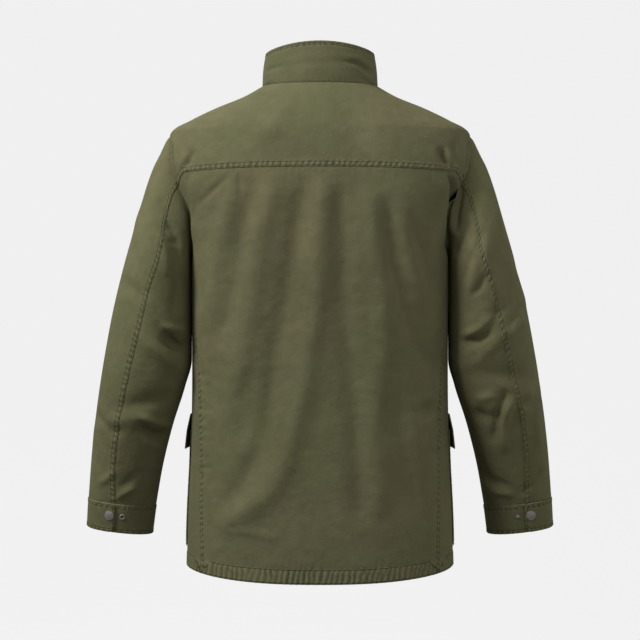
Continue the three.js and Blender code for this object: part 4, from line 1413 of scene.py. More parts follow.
@dataclass
class Back(Piece):
    """The back below the yoke, with its pleats, long drape folds and rippled hem."""

    pleats: dict[Side, Pleat] = field(
        default_factory=lambda: {Side.LEFT: Pleat(191.0, 42.0), Side.RIGHT: Pleat(186.0, 16.0)}
    )
    raised_width: float = 34.0
    crease_gain: float = 1.4
    rows: int = 204
    columns: int = 145
    lap: float = 6.0
    flat: tuple[float, float] = (0.55, 0.63)

    def cut(self) -> tuple[Panel, np.ndarray, np.ndarray]:
        """Cut the back with its pleats folded and its drape folds pressed in.

        Returns:
            The panel, the drop of each grid point, and 1 for each column that isn't folded under.
        """
        row = np.linspace(YOKE_DROP_ARMHOLE - self.lap, HEM_DROP, self.rows)[:, None]
        edge, girth = self.form.edge_turn(row, Face.BACK), self.form.girth_at(row, Face.BACK)
        folds, outers, heights = {}, {}, {}
        for side, pleat in self.pleats.items():
            folds[side] = self.form.pleat_turn(row, pleat.edge_x)
            beyond, heights[side] = pleat.profile(row, (edge - folds[side]) * girth)
            outers[side] = folds[side] + beyond / girth
        middle = np.linspace(-1, 1, self.columns)[None, :]
        fold = np.where(middle < 0, folds[Side.RIGHT], folds[Side.LEFT])
        inside = (1 - np.abs(middle)) * fold * girth
        left = self.pleats[Side.LEFT]
        raised = left.stand * left.rise(row) * (1 - ease(0, self.raised_width, inside))
        turn = np.concatenate([-outers[Side.RIGHT][:, ::-1], middle * fold, outers[Side.LEFT]], axis=1)
        height = np.concatenate([heights[Side.RIGHT][:, ::-1], raised, heights[Side.LEFT]], axis=1)
        down = (row - YOKE_DROP_ARMHOLE) / (HEM_DROP - YOKE_DROP_ARMHOLE)
        seam = yoke_seam(turn / edge)
        drop = mix(seam, HEM_DROP, down)
        settle = ease(0, 13, drop - seam) * (1 - 0.6 * ease(HEM_DROP - 60, HEM_DROP, drop))
        height = height - 0.5 * (1 - ease(-0.5, 2.5, drop - seam))
        points, normals = self.form.point(drop, turn), self.form.normal(drop, turn)
        points = creased(points, normals, BACK_CREASES, Face.BACK, self.crease_gain * settle)
        points = points + normals * height[..., None]
        middles = points.mean(axis=1) * (0, 0, 1)
        count, hidden = points.shape[1], left.folded_steps
        column = np.arange(count)
        strip = left.strip_steps
        from_edge = np.minimum(column, count - 1 - column)
        under = (from_edge >= strip) & (from_edge < strip + hidden)
        wall = np.where(under[None, :], np.minimum(1.0, 0.06 + 0.9 * left.rise(row)), 1.1)
        return Panel(points, wall).face_away_from(middles), drop, np.where(under, 0.0, 1.0)[None, :]

    def build(self) -> None:
        """Cut, sew and dress the back."""
        panel, drop, flat_out = self.cut()
        below = panel.away(Edge.TOP) - self.lap
        panel.pucker(Edge.TOP, Pucker(8.2, 0.55, 13, 11, start=self.lap), ease(0, 4, below) * flat_out)
        side = ease(UNDERARM_DROP + 5, UNDERARM_DROP + 40, drop)
        for seed, edge in enumerate(SIDE_EDGES):
            panel.welt(edge, 7.5, 0.6, side)
            panel.pucker(edge, Pucker(9.5, 0.7, 9, seed + 21, lean=0.2), side)
        hemmed = panel.away(Edge.BOTTOM)
        drawn = 0.4 + 0.6 * (1 - ease(60, 125, panel.points[..., 0]))
        panel.pucker(Edge.BOTTOM, Pucker(9.3, 0.8, 16, 31, lean=0.15, start=14), drawn)
        panel.hem(hemmed)
        self.stitches.add(panel.run(Edge.BOTTOM, HEM_DEPTH), panel.run(Edge.BOTTOM, HEM_DEPTH - 1.5, 0.0, 0.3))
        for edge in SIDE_EDGES:
            self.stitches.add(*panel.twin(edge, 7.2, 0.2))
        self.lay(panel, "back_panel", self.flat, 0.3, name="back")


@dataclass
class Front(Piece):
    """One front: under the yoke at the shoulder, under the back at the side, and under the placket."""

    side: Side
    rows: int = 232
    columns: int = 84
    lap: float = 6.0
    flat: tuple[float, float] = (0.31, 0.74)

    def build(self) -> None:
        """Cut, sew and dress the front."""
        row = np.linspace(0, HEM_DROP, self.rows)[:, None]
        across = np.linspace(0, 1, self.columns)[None, :]
        girth = self.form.girth_at(row, Face.FRONT)
        tucked = 1 - ease(SHOULDER_DROP - 8, SHOULDER_DROP, row) + ease(UNDERARM_DROP, UNDERARM_DROP + 8, row)
        edge = self.form.edge_turn(row, Face.FRONT) - self.lap * tucked / girth
        turn = mix(edge, 2 - 0.3 / girth, across)
        panel = body_panel(self.form, row * np.ones_like(across), self.side.value * turn)
        panel.crease(FRONT_CREASES, Face.FRONT, ease(100, 160, row))
        away = panel.away(Edge.FIRST)
        panel.push(-UNDER_LAP * tucked * (1 - ease(self.lap - 0.5, self.lap + 2.5, away)))
        panel.points[..., 2] -= tip_drop(row, away)
        armhole = (1 - tucked) * ease(SHOULDER_DROP + 5, SHOULDER_DROP + 25, row) * np.ones_like(across)
        panel.welt(Edge.FIRST, 7.5, 0.6, armhole)
        panel.pucker(Edge.FIRST, Pucker(8.5, 0.35, 8, 41, lean=0.2))
        hemmed = panel.away(Edge.BOTTOM)
        panel.pucker(Edge.BOTTOM, Pucker(9.1, 0.6, 15, 43 + self.side.value, start=14))
        panel.hem(hemmed)
        self.stitches.add(panel.run(Edge.BOTTOM, HEM_DEPTH))
        start, stop = SHOULDER_DROP / HEM_DROP, UNDERARM_DROP / HEM_DROP
        self.stitches.add(*panel.twin(Edge.FIRST, 7.2, start, stop))
        self.lay(panel, f"front_{self.side.word}", self.flat, 0.175)


@dataclass
class Ring:
    """A tilted oval round an arm, by its middle and its two half widths."""

    centre: np.ndarray
    across: np.ndarray
    aft: np.ndarray

    @classmethod
    def at(cls, t: np.ndarray) -> "Ring":
        """Find the sleeve's rings.

        Args:
            t: Shares of its length.

        Returns:
            The rings there.
        """
        out = np.stack([SLEEVE.read("out_x", t), 0 * t, SLEEVE.read("out_z", t)], axis=-1)
        inn = np.stack([SLEEVE.read("in_x", t), 0 * t, SLEEVE.read("in_z", t)], axis=-1)
        middle = (out + inn) / 2
        middle[..., 1] = SLEEVE.read("mid_y", t)
        aft = np.stack([0 * t, SLEEVE.read("half", t), 0 * t], axis=-1)
        return cls(middle, (out - inn) / 2, aft)

    def point(self, degrees: np.ndarray) -> np.ndarray:
        """Find points round the ring."""
        angle = np.radians(degrees)[..., None]
        return self.centre + self.across * np.cos(angle) + self.aft * np.sin(angle)

    def unroll(self, points: np.ndarray) -> tuple[np.ndarray, np.ndarray]:
        """Lay a loop of points against one ring.

        Args:
            points: The loop.

        Returns:
            How far round each point lies, in degrees, and how far it strays from the ring.
        """
        off = points - self.centre
        over = off @ self.across[0] / float(self.across[0] @ self.across[0])
        angle = np.degrees(np.unwrap(np.arctan2(off[:, 1] / self.aft[0, 1], over)))
        return angle, points - self.point(angle)


@dataclass(frozen=True)
class ArmholeLoop:
    """The left armhole as a loop, by column: down the yoke and back, under the arm, and up the front."""

    columns: int = 19
    back_seam: int = 5
    underarm: int = 10
    front_seam: int = 13

    @property
    def last(self) -> int:
        """The back seam's column, once round the loop."""
        return self.columns + self.back_seam

    def places(self, form: BodyForm, column: np.ndarray) -> tuple[np.ndarray, np.ndarray, np.ndarray]:
        """Find the loop on the body.

        Args:
            form: The body.
            column: Places round the loop, from the shoulder's tip and on past it.

        Returns:
            The points, the body's normals there, and the direction into the hole.
        """
        column = np.mod(column, self.columns)
        at_yoke = math.acos((ARMHOLE_MIDDLE - YOKE_DROP_ARMHOLE) / ARMHOLE_HALF)
        corners = [0, self.back_seam, self.underarm, self.columns]
        angle = np.interp(column, corners, [0, at_yoke, math.pi, 2 * math.pi])
        row = ARMHOLE_MIDDLE - ARMHOLE_HALF * np.cos(angle)
        behind = column <= self.underarm
        edge = np.where(behind, form.edge_turn(row, Face.BACK), form.edge_turn(row, Face.FRONT))
        points = form.point(row, edge)
        normals = form.square(row, edge)
        normals = normals * np.where(normals[..., :1] > 0, 1.0, -1.0)
        ahead = np.roll(points, -1, axis=0) - np.roll(points, 1, axis=0)
        onward = unit(np.cross(ahead, normals))
        centre = points.mean(axis=0)
        into = np.where(np.sum(onward * (centre - points), axis=-1, keepdims=True) < 0, -1.0, 1.0)
        return points, normals, onward * into

    def even_angle(self, column: np.ndarray, t: np.ndarray) -> np.ndarray:
        """Space columns evenly between the sleeve's seams.

        Args:
            column: Places round the loop.
            t: Shares of the sleeve's length.

        Returns:
            How far round each lies, in degrees.
        """
        back, front = SLEEVE.read("back", t), SLEEVE.read("front", t)
        top = self.columns - self.front_seam + self.back_seam
        early = mix(front, back, (column + self.columns - self.front_seam) / top)
        under = mix(back, front + 360, (column - self.back_seam) / (self.front_seam - self.back_seam))
        late = 360 + mix(front, back, (column - self.front_seam) / top)
        return np.where(column <= self.back_seam, early, np.where(column <= self.front_seam, under, late))


ARMHOLE = ArmholeLoop()


@dataclass(frozen=True)
class SleeveFold:
    """A fold round the sleeve, by share of length and degrees round."""

    t: float
    turn: float
    along: float
    round: float
    slant: float
    height: float

    def push(self, t: np.ndarray, degrees: np.ndarray) -> np.ndarray:
        """Work out how far the fold moves the cloth.

        Args:
            t: Shares of the sleeve's length.
            degrees: How far round.

        Returns:
            The move out at each point.
        """
        off = np.where(degrees > 260, degrees - 360, degrees) - self.turn
        along = (t - self.t - self.slant * off) / self.along
        return self.height * np.exp(-(along**2) - (off / self.round) ** 2)


SLEEVE_FOLDS = {
    Side.LEFT: (
        SleeveFold(0.5, 125, 0.025, 30, 0.0007, -5),
        SleeveFold(0.56, 110, 0.025, 35, 0.0006, 4),
        SleeveFold(0.71, 110, 0.025, 40, -0.0009, -5),
        SleeveFold(0.77, 80, 0.025, 50, -0.0008, 3.5),
        SleeveFold(0.6, -90, 0.03, 45, 0, -5),
        SleeveFold(0.3, 40, 0.03, 40, 0.001, 3),
    ),
    Side.RIGHT: (
        SleeveFold(0.46, 70, 0.025, 50, 0.0008, -4.5),
        SleeveFold(0.53, 60, 0.025, 50, 0.0008, 4),
        SleeveFold(0.66, 75, 0.025, 45, -0.0009, -5),
        SleeveFold(0.73, 100, 0.025, 45, -0.0008, 4),
        SleeveFold(0.6, -90, 0.03, 45, 0, -5),
        SleeveFold(0.25, 110, 0.03, 40, 0.001, -3),
    ),
}
SLEEVE_CREASES = {
    Side.LEFT: laid(
        (9, -5.0, 14, (236, -385), (212, -400), (196, -402)),
        (6, 2.4, 14, (236, -368), (206, -378)),
        (4.5, -2.2, 12, (232, -214), (222, -226), (210, -248)),
        (4.0, -1.8, 10, (228, -242), (214, -244)),
        (8, 2.2, 20, (246, -226), (232, -252), (228, -290)),
        (8, -2.6, 24, (218, -240), (212, -300), (216, -350)),
        (8, -6.4, 14, (276, -522), (252, -534), (226, -538)),
        (6, 3.8, 14, (272, -506), (240, -518), (222, -522)),
        (8, 2.4, 14, (262, -544), (244, -556), (232, -572)),
        (8, -2.4, 16, (352, -500), (318, -528), (300, -530)),
        (7, -2.2, 12, (260, -546), (236, -540)),
        (5.0, 2.6, 14, (312, -634), (298, -624), (282, -616)),
        (6.0, -1.8, 14, (306, -616), (288, -602), (270, -588)),
        (6.0, 1.8, 12, (340, -612), (322, -600), (312, -586)),
        (5, 1.6, 24, (338, -230), (338, -340), (330, -380)),
        (10, -1.8, 18, (300, -300), (262, -330)),
    ),
    Side.RIGHT: laid(
        (5, 3.4, 14, (-207, -160), (-202, -190), (-199, -232)),
        (4, -3.2, 12, (-216, -160), (-208, -196), (-204, -226)),
        (6, -3.0, 14, (-224, -212), (-212, -232), (-202, -262)),
        (9, 2.4, 20, (-228, -236), (-232, -262), (-224, -330)),
        (6, -2.2, 12, (-250, -290), (-238, -312), (-226, -324)),
        (7, 3.4, 14, (-258, -352), (-240, -372), (-216, -384)),
        (6, -3.6, 14, (-256, -378), (-236, -392), (-214, -392)),
        (7, -2.6, 12, (-312, -334), (-296, -352), (-282, -372)),
        (6, 2.0, 12, (-312, -360), (-298, -370), (-284, -388)),
        (7, 2.6, 10, (-262, -474), (-246, -478), (-236, -478)),
        (7, -3.8, 14, (-280, -468), (-268, -504), (-264, -544)),
        (7, -3.2, 12, (-258, -512), (-234, -498)),
        (8, 2.6, 16, (-290, -476), (-276, -520), (-280, -560)),
        (6, -2.6, 12, (-318, -478), (-300, -490), (-288, -508)),
        (7, 2.0, 20, (-338, -452), (-330, -500), (-336, -560)),
        (6, -3.2, 12, (-344, -590), (-326, -606), (-308, -626)),
        (5.0, 3.0, 14, (-296, -628), (-268, -624), (-248, -606)),
        (6.0, -2.4, 14, (-290, -614), (-264, -606), (-246, -584)),
        (6, 1.8, 20, (-246, -236), (-250, -300)),
        (7, 2.0, 24, (-262, -180), (-282, -250), (-288, -300)),
    ),
}


@dataclass
class Sleeve(Piece):
    """One two-piece sleeve, its top piece lapped over the under piece at both seams."""

    side: Side
    rows: int = 206
    top_columns: int = 116
    under_columns: int = 70
    lap: float = 0.28
    tuck: float = 5.0
    tip_sink: float = 5.0
    pleat_sink: float = 9.0
    cuff_tuck: float = 3.0
    cuff_sink: float = 2.4
    head_rise: float = 1.6
    head_dip: float = 2.2
    crease_gain: float = 1.6
    fill_power: float = 0.68

    def fill(self, t: np.ndarray, degrees: np.ndarray) -> np.ndarray:
        """Fill out the inner back quarter, where the sleeve lies against the body.

        Args:
            t: The share of its length.
            degrees: How far round.

        Returns:
            The move back at each point.
        """
        plain = np.sin(np.radians(np.clip(degrees, 90, 180)))
        round_ = np.clip(plain, 0, 1)
        amount = ease(0.02, 0.15, t) * (1 - ease(0.62, 0.95, t))
        return SLEEVE.read("half", t) * (round_**self.fill_power - round_) * amount

    def grid(self, start: float, stop: float, columns: int) -> Panel:
        """Cut one piece of the sleeve.

        Args:
            start: Its first column round the armhole.
            stop: Its last column.
            columns: How many grid columns it gets.

        Returns:
            The panel.
        """
        column = np.linspace(start, stop, columns)
        fine = np.linspace(0, ARMHOLE.last, ARMHOLE.last * 12 + 1)
        points, normals, into = ARMHOLE.places(self.form, fine)
        base = points + into * (SEAM / 2) + normals * SEAM
        angle, stray = Ring.at(np.zeros(1)).unroll(base)
        angle_at, stray_at = np.interp(column, fine, angle), read_line(column, fine, stray)
        t = np.linspace(0, 1, self.rows)[:, None]
        ring = Ring.at(t * np.ones((1, columns)))
        settled = ease(0, 0.3, t)
        turned = mix(angle_at[None, :], ARMHOLE.even_angle(column[None, :], t), settled)
        cloth = ring.point(turned) + stray_at[None] * (1 - settled)[..., None]
        cloth[..., 1] += self.fill(t, turned)
        out = unit(cloth - ring.centre)
        folds = sum(fold.push(t, turned) for fold in SLEEVE_FOLDS[self.side])
        head = self.head_rise * bell(t, 0.012, 0.012) - self.head_dip * bell(t, 0.05, 0.03)
        outer = bell(np.mod(turned + 180, 360) - 180, 0, 50)
        cloth = cloth + out * (folds * ease(0.08, 0.2, t) + head * outer)[..., None]
        armhole = (read_line(column, fine, values) for values in (base, into, normals))
        rows = self.tucked(column, *armhole)
        down = unit(ring.centre[-1:] - ring.centre[-2:-1])
        into_cuff = cloth[-1:] + self.cuff_tuck * down - self.cuff_sink * out[-1:]
        cloth = np.concatenate([rows, cloth, into_cuff])
        starts = np.repeat(ring.centre[:1, 0], len(rows), axis=0)
        middles = np.concatenate([starts, ring.centre[:, 0], ring.centre[-1:, 0]])
        mirror = (self.side.value, 1, 1)
        return Panel(cloth * mirror, CLOTH_WALL).face_away_from(middles * mirror)

    def tucked(self, column: np.ndarray, base: np.ndarray, into: np.ndarray, normals: np.ndarray) -> np.ndarray:
        """Turn the sleeve's head in under the body's edge, deeper by the pleat and at the shoulder's tip.

        Args:
            column: Places round the armhole.
            base: The armhole there.
            into: The direction into the hole.
            normals: The body's normals.

        Returns:
            The turned-in rows, the innermost first.
        """
        clear = 1 - ease(0.75, 0.97, into[:, 2])
        by_pleat = ease(5.4, 6.4, column) * (1 - ease(9.2, 10.1, column))
        at_tip = self.tip_sink * bell(column, ARMHOLE.columns, 1.4)
        sunk = self.pleat_sink * by_pleat + at_tip
        rows = []
        for far in (self.tuck, 3.2, 1.5):
            depth = (1.6 + at_tip) * min(1.0, far / 1.5) + sunk * far / self.tuck
            rows.append(base - (into * far + normals * depth[:, None]) * clear[:, None])
        return np.stack(rows)

    def build(self) -> None:
        """Cut, sew and dress both pieces."""
        top = self.grid(ARMHOLE.front_seam, ARMHOLE.last, self.top_columns)
        under = self.grid(ARMHOLE.back_seam - self.lap, ARMHOLE.front_seam + self.lap, self.under_columns)
        for panel in (top, under):
            panel.crease(SLEEVE_CREASES[self.side], Face.BACK, self.crease_gain)
        for seed, edge in enumerate(SIDE_EDGES):
            top.welt(edge, 7.5, 0.6)
            top.pucker(edge, Pucker(9.0, 0.5, 9, 51 + seed + self.side.value, lean=0.3))
            under.push(-UNDER_LAP * (1 - ease(5.5, 9.0, under.away(edge))))
            self.stitches.add(*top.twin(edge, 7.2, 0.02))
        self.lay(top, f"sleeve_top_{self.side.word}", (0.34, 0.64), 0.155, Cloth.SLEEVE)
        self.lay(under, f"sleeve_under_{self.side.word}", (0.24, 0.56), 0.085, Cloth.SLEEVE)


CUFF_FOOT = Ring(np.array([[314.0, -32.0, -686.5]]), np.array([[51.0, 0, 6.5]]), np.array([[0, 47.0, 0]]))


@dataclass(frozen=True)
class CuffForm:
    """A cuff's shape: an oval band whose tab laps over its own start."""

    side: Side
    start: float = 61.0
    tab_end: float = 445.0
    stand: float = 0.8
    snap_share: float = 0.42
    cap_turn: float = 437.0
    open_turn: float = 98.0

    def point(self, down: np.ndarray, degrees: np.ndarray) -> np.ndarray:
        """Find points on the left cuff.

        Args:
            down: The share of its height.
            degrees: How far round.

        Returns:
            The points.
        """
        down, degrees = np.broadcast_arrays(down, degrees)
        top, foot = Ring.at(np.ones(1)), CUFF_FOOT
        point = mix(top.point(degrees), foot.point(degrees), down[..., None])
        middle = mix(top.centre, foot.centre, down[..., None])
        along = unit(foot.centre - top.centre)[0]
        lap = LAP_LIFT * ease(self.tab_end - 72, self.tab_end - 36, degrees)
        out = unit(point - middle)
        point = point + out * (self.stand + lap)[..., None]
        return point + along * (CLEARANCE * (1 - down))[..., None]

    def handed(self, points: np.ndarray) -> np.ndarray:
        """Mirror points for the right arm."""
        return points * (self.side.value, 1, 1)

    def facing(self, degrees: float) -> np.ndarray:
        """Find the way the cuff faces where its snaps sit.

        Args:
            degrees: How far round.

        Returns:
            The direction out.
        """
        at, over, down = (
            self.point(np.array([share]), np.array([turn]))
            for share, turn in ((self.snap_share, degrees), (self.snap_share, degrees + 1), (1.0, degrees))
        )
        over, down = over - at, down - at
        out = unit(np.cross(over, down))[0]
        return self.handed(out if out[1] > 0 else -out)


@dataclass
class Cuff(Piece):
    """A doubled cuff with a rounded tab."""

    side: Side
    wall: float = 2.4
    rows: int = 22
    columns: int = 190
    corner: float = 9.0
    tall: float = 44.0
    per_degree: float = 1.25

    def build(self) -> None:
        """Cut, sew and dress the cuff."""
        shape = CuffForm(self.side)
        degrees = np.linspace(shape.start, shape.tab_end, self.columns)[None, :]
        share = np.linspace(0, 1, self.rows)[:, None]
        left = np.clip(self.corner - (shape.tab_end - degrees) * self.per_degree, 0, None)
        round_off = self.corner - np.sqrt(np.clip(self.corner**2 - left**2, 0, None))
        cut = round_off / self.tall
        points = shape.point(cut + share * (1 - 2 * cut), degrees * np.ones_like(share))
        down = share[:, 0]
        middles = shape.point(down, 0 * down) * 0.5 + shape.point(down, 180 + 0 * down) * 0.5
        panel = Panel(shape.handed(points), self.wall).face_away_from(shape.handed(middles))
        for seed, edge in enumerate((Edge.TOP, Edge.BOTTOM)):
            panel.welt(edge, 5.5, 0.35)
            panel.pucker(edge, Pucker(7.0, 0.3, 6, 61 + seed))
            self.stitches.add(*panel.twin(edge, 6))
        panel.welt(Edge.LAST, 3.2, 0.5)
        self.stitches.add(panel.run(Edge.LAST, STITCH_INSET, 0.15, 0.85))
        self.lay(panel, f"cuff_{self.side.word}", (0.36, 0.05), 0.0165, Cloth.DOUBLED)


@dataclass
class Collar(Piece):
    """The stand collar, its left end lapped over its right at the front."""

    back: float = 63.0
    side: float = 50.0
    front: float = 52.0
    lean: float = 5.0
    swell: float = 1.5
    wall: float = 2.4
    rows: int = 28
    columns: int = 236
    creases: tuple[Crease, ...] = laid(
        (3.2, -1.3, 10, (82, 22), (68, 25), (54, 25)),
        (5.0, -0.6, 14, (54, 25), (20, 28), (-36, 31)),
        (3.0, -1.6, 6, (84, -1), (76, 2), (70, 2)),
        (3.4, -2.4, 12, (-36, 32), (-56, 29), (-79, 17)),
        (4.5, 1.4, 12, (-40, 39), (-60, 37), (-80, 27)),
        (3.4, -2.2, 10, (-60, 10), (-74, 2), (-88, -3)),
        (4.0, 1.6, 8, (-66, 1), (-80, -6)),
    )

    def point(self, up: np.ndarray, turn: np.ndarray) -> np.ndarray:
        """Find points on the collar.

        Args:
            up: The share of its height.
            turn: How far round the neck.

        Returns:
            The points.
        """
        up, turn = np.broadcast_arrays(up, turn)
        base = self.form.point(np.zeros_like(turn), turn)
        behind = base[..., 1] > 0
        depth = np.where(behind, base[..., 1] / 62.0, -base[..., 1] / 78.0)
        height = mix(self.side, np.where(behind, self.back, self.front), depth**2)
        start = float(self.form.placket_turn(np.zeros(1))[0])
        lap = LAP_LIFT * ease(start - 0.1, 1.98, turn)
        out = unit(base * (1, 1, 0))
        reach = lap + self.swell * np.sin(math.pi * up) - self.lean * up
        point = base + out * reach[..., None]
        point[..., 2] += CLEARANCE + (height - SEAM) * up
        return point

    def build(self) -> None:
        """Cut, sew and dress the collar."""
        start = float(self.form.placket_turn(np.zeros(1))[0])
        turn = np.linspace(-2, 4 - start, self.columns)[None, :]
        up = np.linspace(1, 0, self.rows)[:, None]
        points = self.point(up, turn)
        middles = np.zeros((self.rows, 3))
        middles[:, 2] = points[:, :, 2].mean(axis=1)
        panel = Panel(points, self.wall).face_away_from(middles)
        panel.crease(self.creases, Face.BACK)
        panel.welt(Edge.TOP, 5.0, 0.3)
        panel.pucker(Edge.TOP, Pucker(9.0, 0.25, 8, 71))
        panel.pucker(Edge.BOTTOM, Pucker(8.0, 0.35, 8, 73))
        self.stitches.add(panel.run(Edge.TOP, 4.5), panel.run(Edge.BOTTOM, 2.5))
        self.lay(panel, "collar", (0.6, 0.07), 0.032, Cloth.DOUBLED)


@dataclass
class Placket(Piece):
    """The fly strip down the middle front."""

    wall: float = 1.8
    below_neck: float = 6.0
    rows: int = 230
    columns: int = 24

    def build(self) -> None:
        """Cut, sew and dress the placket."""
        row = np.linspace(self.below_neck, HEM_DROP, self.rows)[:, None]
        edge = self.form.placket_turn(row)
        turn = mix(edge, 4 - edge, np.linspace(0, 1, self.columns)[None, :])
        panel = body_panel(self.form, row * np.ones_like(turn), turn, self.wall)
        panel.push(np.full(panel.points.shape[:2], CLEARANCE + self.wall))
        for seed, side in enumerate(SIDE_EDGES):
            panel.welt(side, 6.0, 0.3)
            panel.pucker(side, Pucker(9.0, 0.3, 7, 81 + seed))
            self.stitches.add(*panel.twin(side, 7))
        self.lay(panel, "placket", (0.062, 0.75), 0.045)


Lift = Callable[[np.ndarray, np.ndarray], np.ndarray]


@dataclass
class Pocket(Piece):
    """A patch pocket and its flap on one front."""

    side: Side
    top: float = 530.0
    flap_top: float = 505.0
    flap_foot: float = 558.0
    foot: float = 706.0
    flap_wall: float = 2.0
    pocket_wall: float = 1.4
    pocket_off: float = 1.9
    pocket_grid: tuple[int, int] = (60, 46)
    flap_grid: tuple[int, int] = (24, 48)
    places: int = 11
    rear: int = 2
    fore: int = 8

    def sheet(self, top: float, foot: float, grid: tuple[int, int], lift: Lift, wall: float) -> Panel:
        """Cut a piece that follows the front.

        Args:
            top: The drop of its top edge.
            foot: The drop of its lower edge.
            grid: Its rows and columns.
            lift: Gives how far off the front it lies, by drop and share of the way round.
            wall: The cloth's thickness.

        Returns:
            The panel.
        """
        row = np.linspace(top, foot, grid[0])[:, None]
        across = np.linspace(self.rear / self.places, self.fore / self.places, grid[1])[None, :]
        turn = mix(self.form.edge_turn(row, Face.FRONT), self.form.placket_turn(row), across)
        row = row * np.ones_like(across)
        panel = body_panel(self.form, row, self.side.value * turn, wall)
        panel.crease(FRONT_CREASES, Face.FRONT)
        panel.push(lift(row, across * np.ones_like(row)))
        return panel

    def pocket_lift(self, row: np.ndarray, across: np.ndarray) -> np.ndarray:
        """Lift the pocket off the front, evenly."""
        return np.full(row.shape, self.pocket_off)

    def flap_lift(self, row: np.ndarray, across: np.ndarray) -> np.ndarray:
        """Lift the flap over the pocket and flare its rear end.

        Args:
            row: The drop of each grid point.
            across: Its share of the way round the front.

        Returns:
            How far it lies off the front.
        """
        drops = [self.flap_top, self.top, self.flap_foot]
        step = np.interp(row, drops, [0, 1, 2])
        lift = np.interp(row, drops, [0.4, 3.8, 4.6]) + self.flap_wall
        return lift + 3 * step * np.maximum(2 - (across * self.places - self.rear), 0) / 4

    def build(self) -> None:
        """Cut, sew and dress the pocket and its flap."""
        pocket = self.sheet(self.top, self.foot, self.pocket_grid, self.pocket_lift, self.pocket_wall)
        sewn = (*SIDE_EDGES, Edge.BOTTOM)
        near = np.minimum.reduce([pocket.away(edge) for edge in sewn])
        pocket.push(1.3 * ease(2, 22, near))
        for seed, edge in enumerate(sewn):
            pocket.pucker(edge, Pucker(8.5, 0.35, 7, 91 + seed))
            self.stitches.add(*pocket.twin(edge, 7))
            pocket.wear = np.maximum(pocket.wear, 1 - ease(7, 12, pocket.away(edge)))
        flap = self.sheet(self.flap_top, self.flap_foot, self.flap_grid, self.flap_lift, self.flap_wall)
        for edge in sewn:
            self.stitches.add(*flap.twin(edge, 7))
        flap.wear = np.maximum(flap.wear, 0.6)
        self.lay(pocket, f"pocket_{self.side.word}", (0.16, 0.18), 0.027)
        self.lay(flap, f"pocket_flap_{self.side.word}", (0.16, 0.056), 0.0083)


@dataclass(frozen=True)
class Lamp:
    """A soft square light, placed and sized in metres, with its power in watts."""

    name: str
    place: tuple[float, float, float]
    size: float
    power: float

    def hang(self, target: tuple[float, float, float]) -> None:
        """Hang the light and aim it.

        Args:
            target: The point that it aims at.
        """
        data = bpy.data.lights.new(self.name, "AREA")
        data.shape, data.size, data.energy = "SQUARE", self.size, self.power
        lamp = bpy.data.objects.new(self.name, data)
        bpy.context.scene.collection.objects.link(lamp)
        lamp.location = self.place
        aim = np.array(target) - np.array(self.place)
        level = math.hypot(aim[0], aim[1])
        lamp.rotation_euler = (math.atan2(level, -aim[2]), 0, math.atan2(-aim[0], aim[1]))
        lamp.visible_camera = False


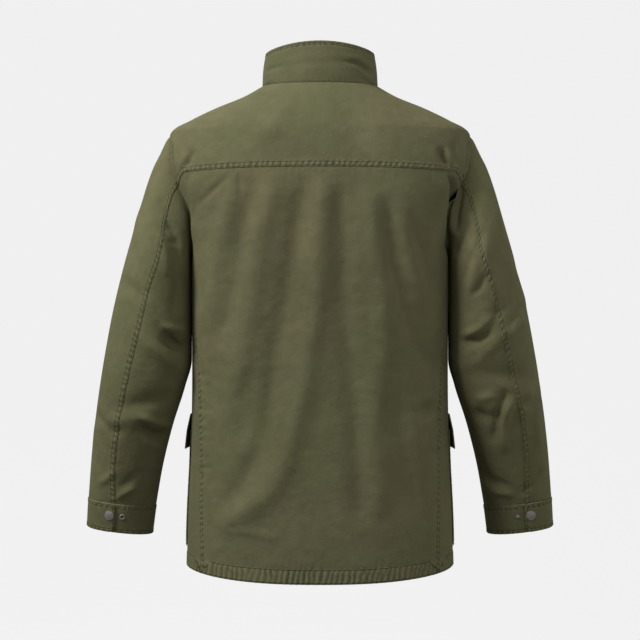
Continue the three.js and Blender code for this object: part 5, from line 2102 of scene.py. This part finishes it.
@dataclass(frozen=True)
class Studio:
    """The pale sweep, the soft lights and the camera."""

    distance: float = 2.342
    height: float = -0.360
    lens: float = 85.0
    sensor: float = 36.0
    air: float = 0.2
    floor: float = -1.25
    wall: float = -3.2
    wall_top: float = 3.5
    near: float = 4.5
    half: float = 5.0
    bend: float = 1.2
    bend_steps: int = 16
    lamps: tuple[Lamp, ...] = (
        Lamp("key_light", (1.8, 1.05, 1.15), 0.7, 59),
        Lamp("fill_light", (-1.5, 2.3, 0.9), 2.2, 21),
        Lamp("top_light", (0.2, 0.5, 1.9), 1.2, 14),
        Lamp("rim_light", (-2.0, 0.1, -0.3), 1.0, 6),
        Lamp("front_light", (0.7, -2.3, 0.8), 1.4, 13),
    )

    def sweep(self, finishes: Finishes) -> None:
        """Lay a floor that curves up into a wall.

        Args:
            finishes: The finishes.
        """
        foot = self.wall + self.bend
        profile = [(self.near, self.floor), (foot, self.floor)]
        for k in range(1, self.bend_steps + 1):
            angle = math.pi / 2 * k / self.bend_steps
            rise = self.floor + self.bend - self.bend * math.cos(angle)
            profile.append((foot - self.bend * math.sin(angle), rise))
        profile.append((self.wall, self.wall_top))
        points = np.array([(x, y, z) for x in (-self.half, self.half) for y, z in profile]) / MM
        count = len(profile)
        quads = np.array([(k, k + 1, count + k + 1, count + k) for k in range(count - 1)])
        made = Mesh(points, quads, NO_TRIANGLES).piece("backdrop_sweep", finishes.backdrop)
        made.visible_diffuse = False
        made.visible_glossy = False

    def look(self) -> None:
        """Set the camera where the photo was taken from."""
        data = bpy.data.cameras.new("camera")
        data.lens, data.sensor_width = self.lens, self.sensor
        camera = bpy.data.objects.new("camera", data)
        bpy.context.scene.collection.objects.link(camera)
        camera.location = (0, self.distance, self.height)
        camera.rotation_euler = (math.pi / 2, 0, math.pi)
        bpy.context.scene.camera = camera
        bpy.context.scene.view_settings.view_transform = "Standard"

    def build(self, finishes: Finishes) -> None:
        """Set up the whole studio.

        Args:
            finishes: The finishes.
        """
        self.sweep(finishes)
        for lamp in self.lamps:
            lamp.hang((0.0, 0.0, self.height))
        world = bpy.data.worlds.new("studio_air")
        bpy.context.scene.world = world
        world.use_nodes = True
        for socket, value in zip(world.node_tree.nodes["Background"].inputs, ((1, 1, 1, 1), self.air)):
            socket.default_value = value
        self.look()


def fasten(form: BodyForm, finishes: Finishes) -> None:
    """Set every snap on its cloth.

    Args:
        form: The body.
        finishes: The finishes.
    """
    out = form.normal(np.array(PLACKET_CAP_DROPS), np.array(1.99))
    for count, way in enumerate(out, start=1):
        CAP.set_on(f"cap_placket_{count}", way, finishes)
    CAP.set_on("cap_collar", (0, -1, 0), finishes)
    for side in Side:
        cuff = CuffForm(side)
        CAP.set_on(f"cap_cuff_{side.word}", cuff.facing(cuff.cap_turn), finishes)
    SOCKET.set_on("socket_cuff_left", CuffForm(Side.LEFT).facing(CuffForm.open_turn), finishes)
    STUD.set_on("stud_cuff_right", CuffForm(Side.RIGHT).facing(CuffForm.open_turn), finishes)


def make(name: str, plan: tuple[tuple, ...], form: BodyForm, finishes: Finishes) -> None:
    """Make some pieces in order, then sew their stitches as one.

    Args:
        name: The stitches' name.
        plan: Each piece's class, with its side where it has one.
        form: The body.
        finishes: The finishes.
    """
    stitches = Stitching(name)
    for kind, *side in plan:
        kind(form, finishes, stitches, *side).build()
    stitches.sew(finishes)


def main() -> None:
    """Build the jacket piece by piece, then the studio."""
    logging.basicConfig(level=logging.INFO, format="%(message)s")
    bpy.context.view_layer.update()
    finishes = Finishes.build()
    Studio().build(finishes)
    form = BodyForm()
    left, right = Side
    make("body_stitches", ((Yoke,), (Back,)), form, finishes)
    fronts = ((Front, left), (Pocket, left), (Front, right), (Pocket, right), (Placket,))
    make("front_stitches", fronts, form, finishes)
    arms = ((Sleeve, left), (Cuff, left), (Sleeve, right), (Cuff, right), (Collar,))
    make("sleeve_stitches", arms, form, finishes)
    fasten(form, finishes)


if __name__ == "__main__":
    main()
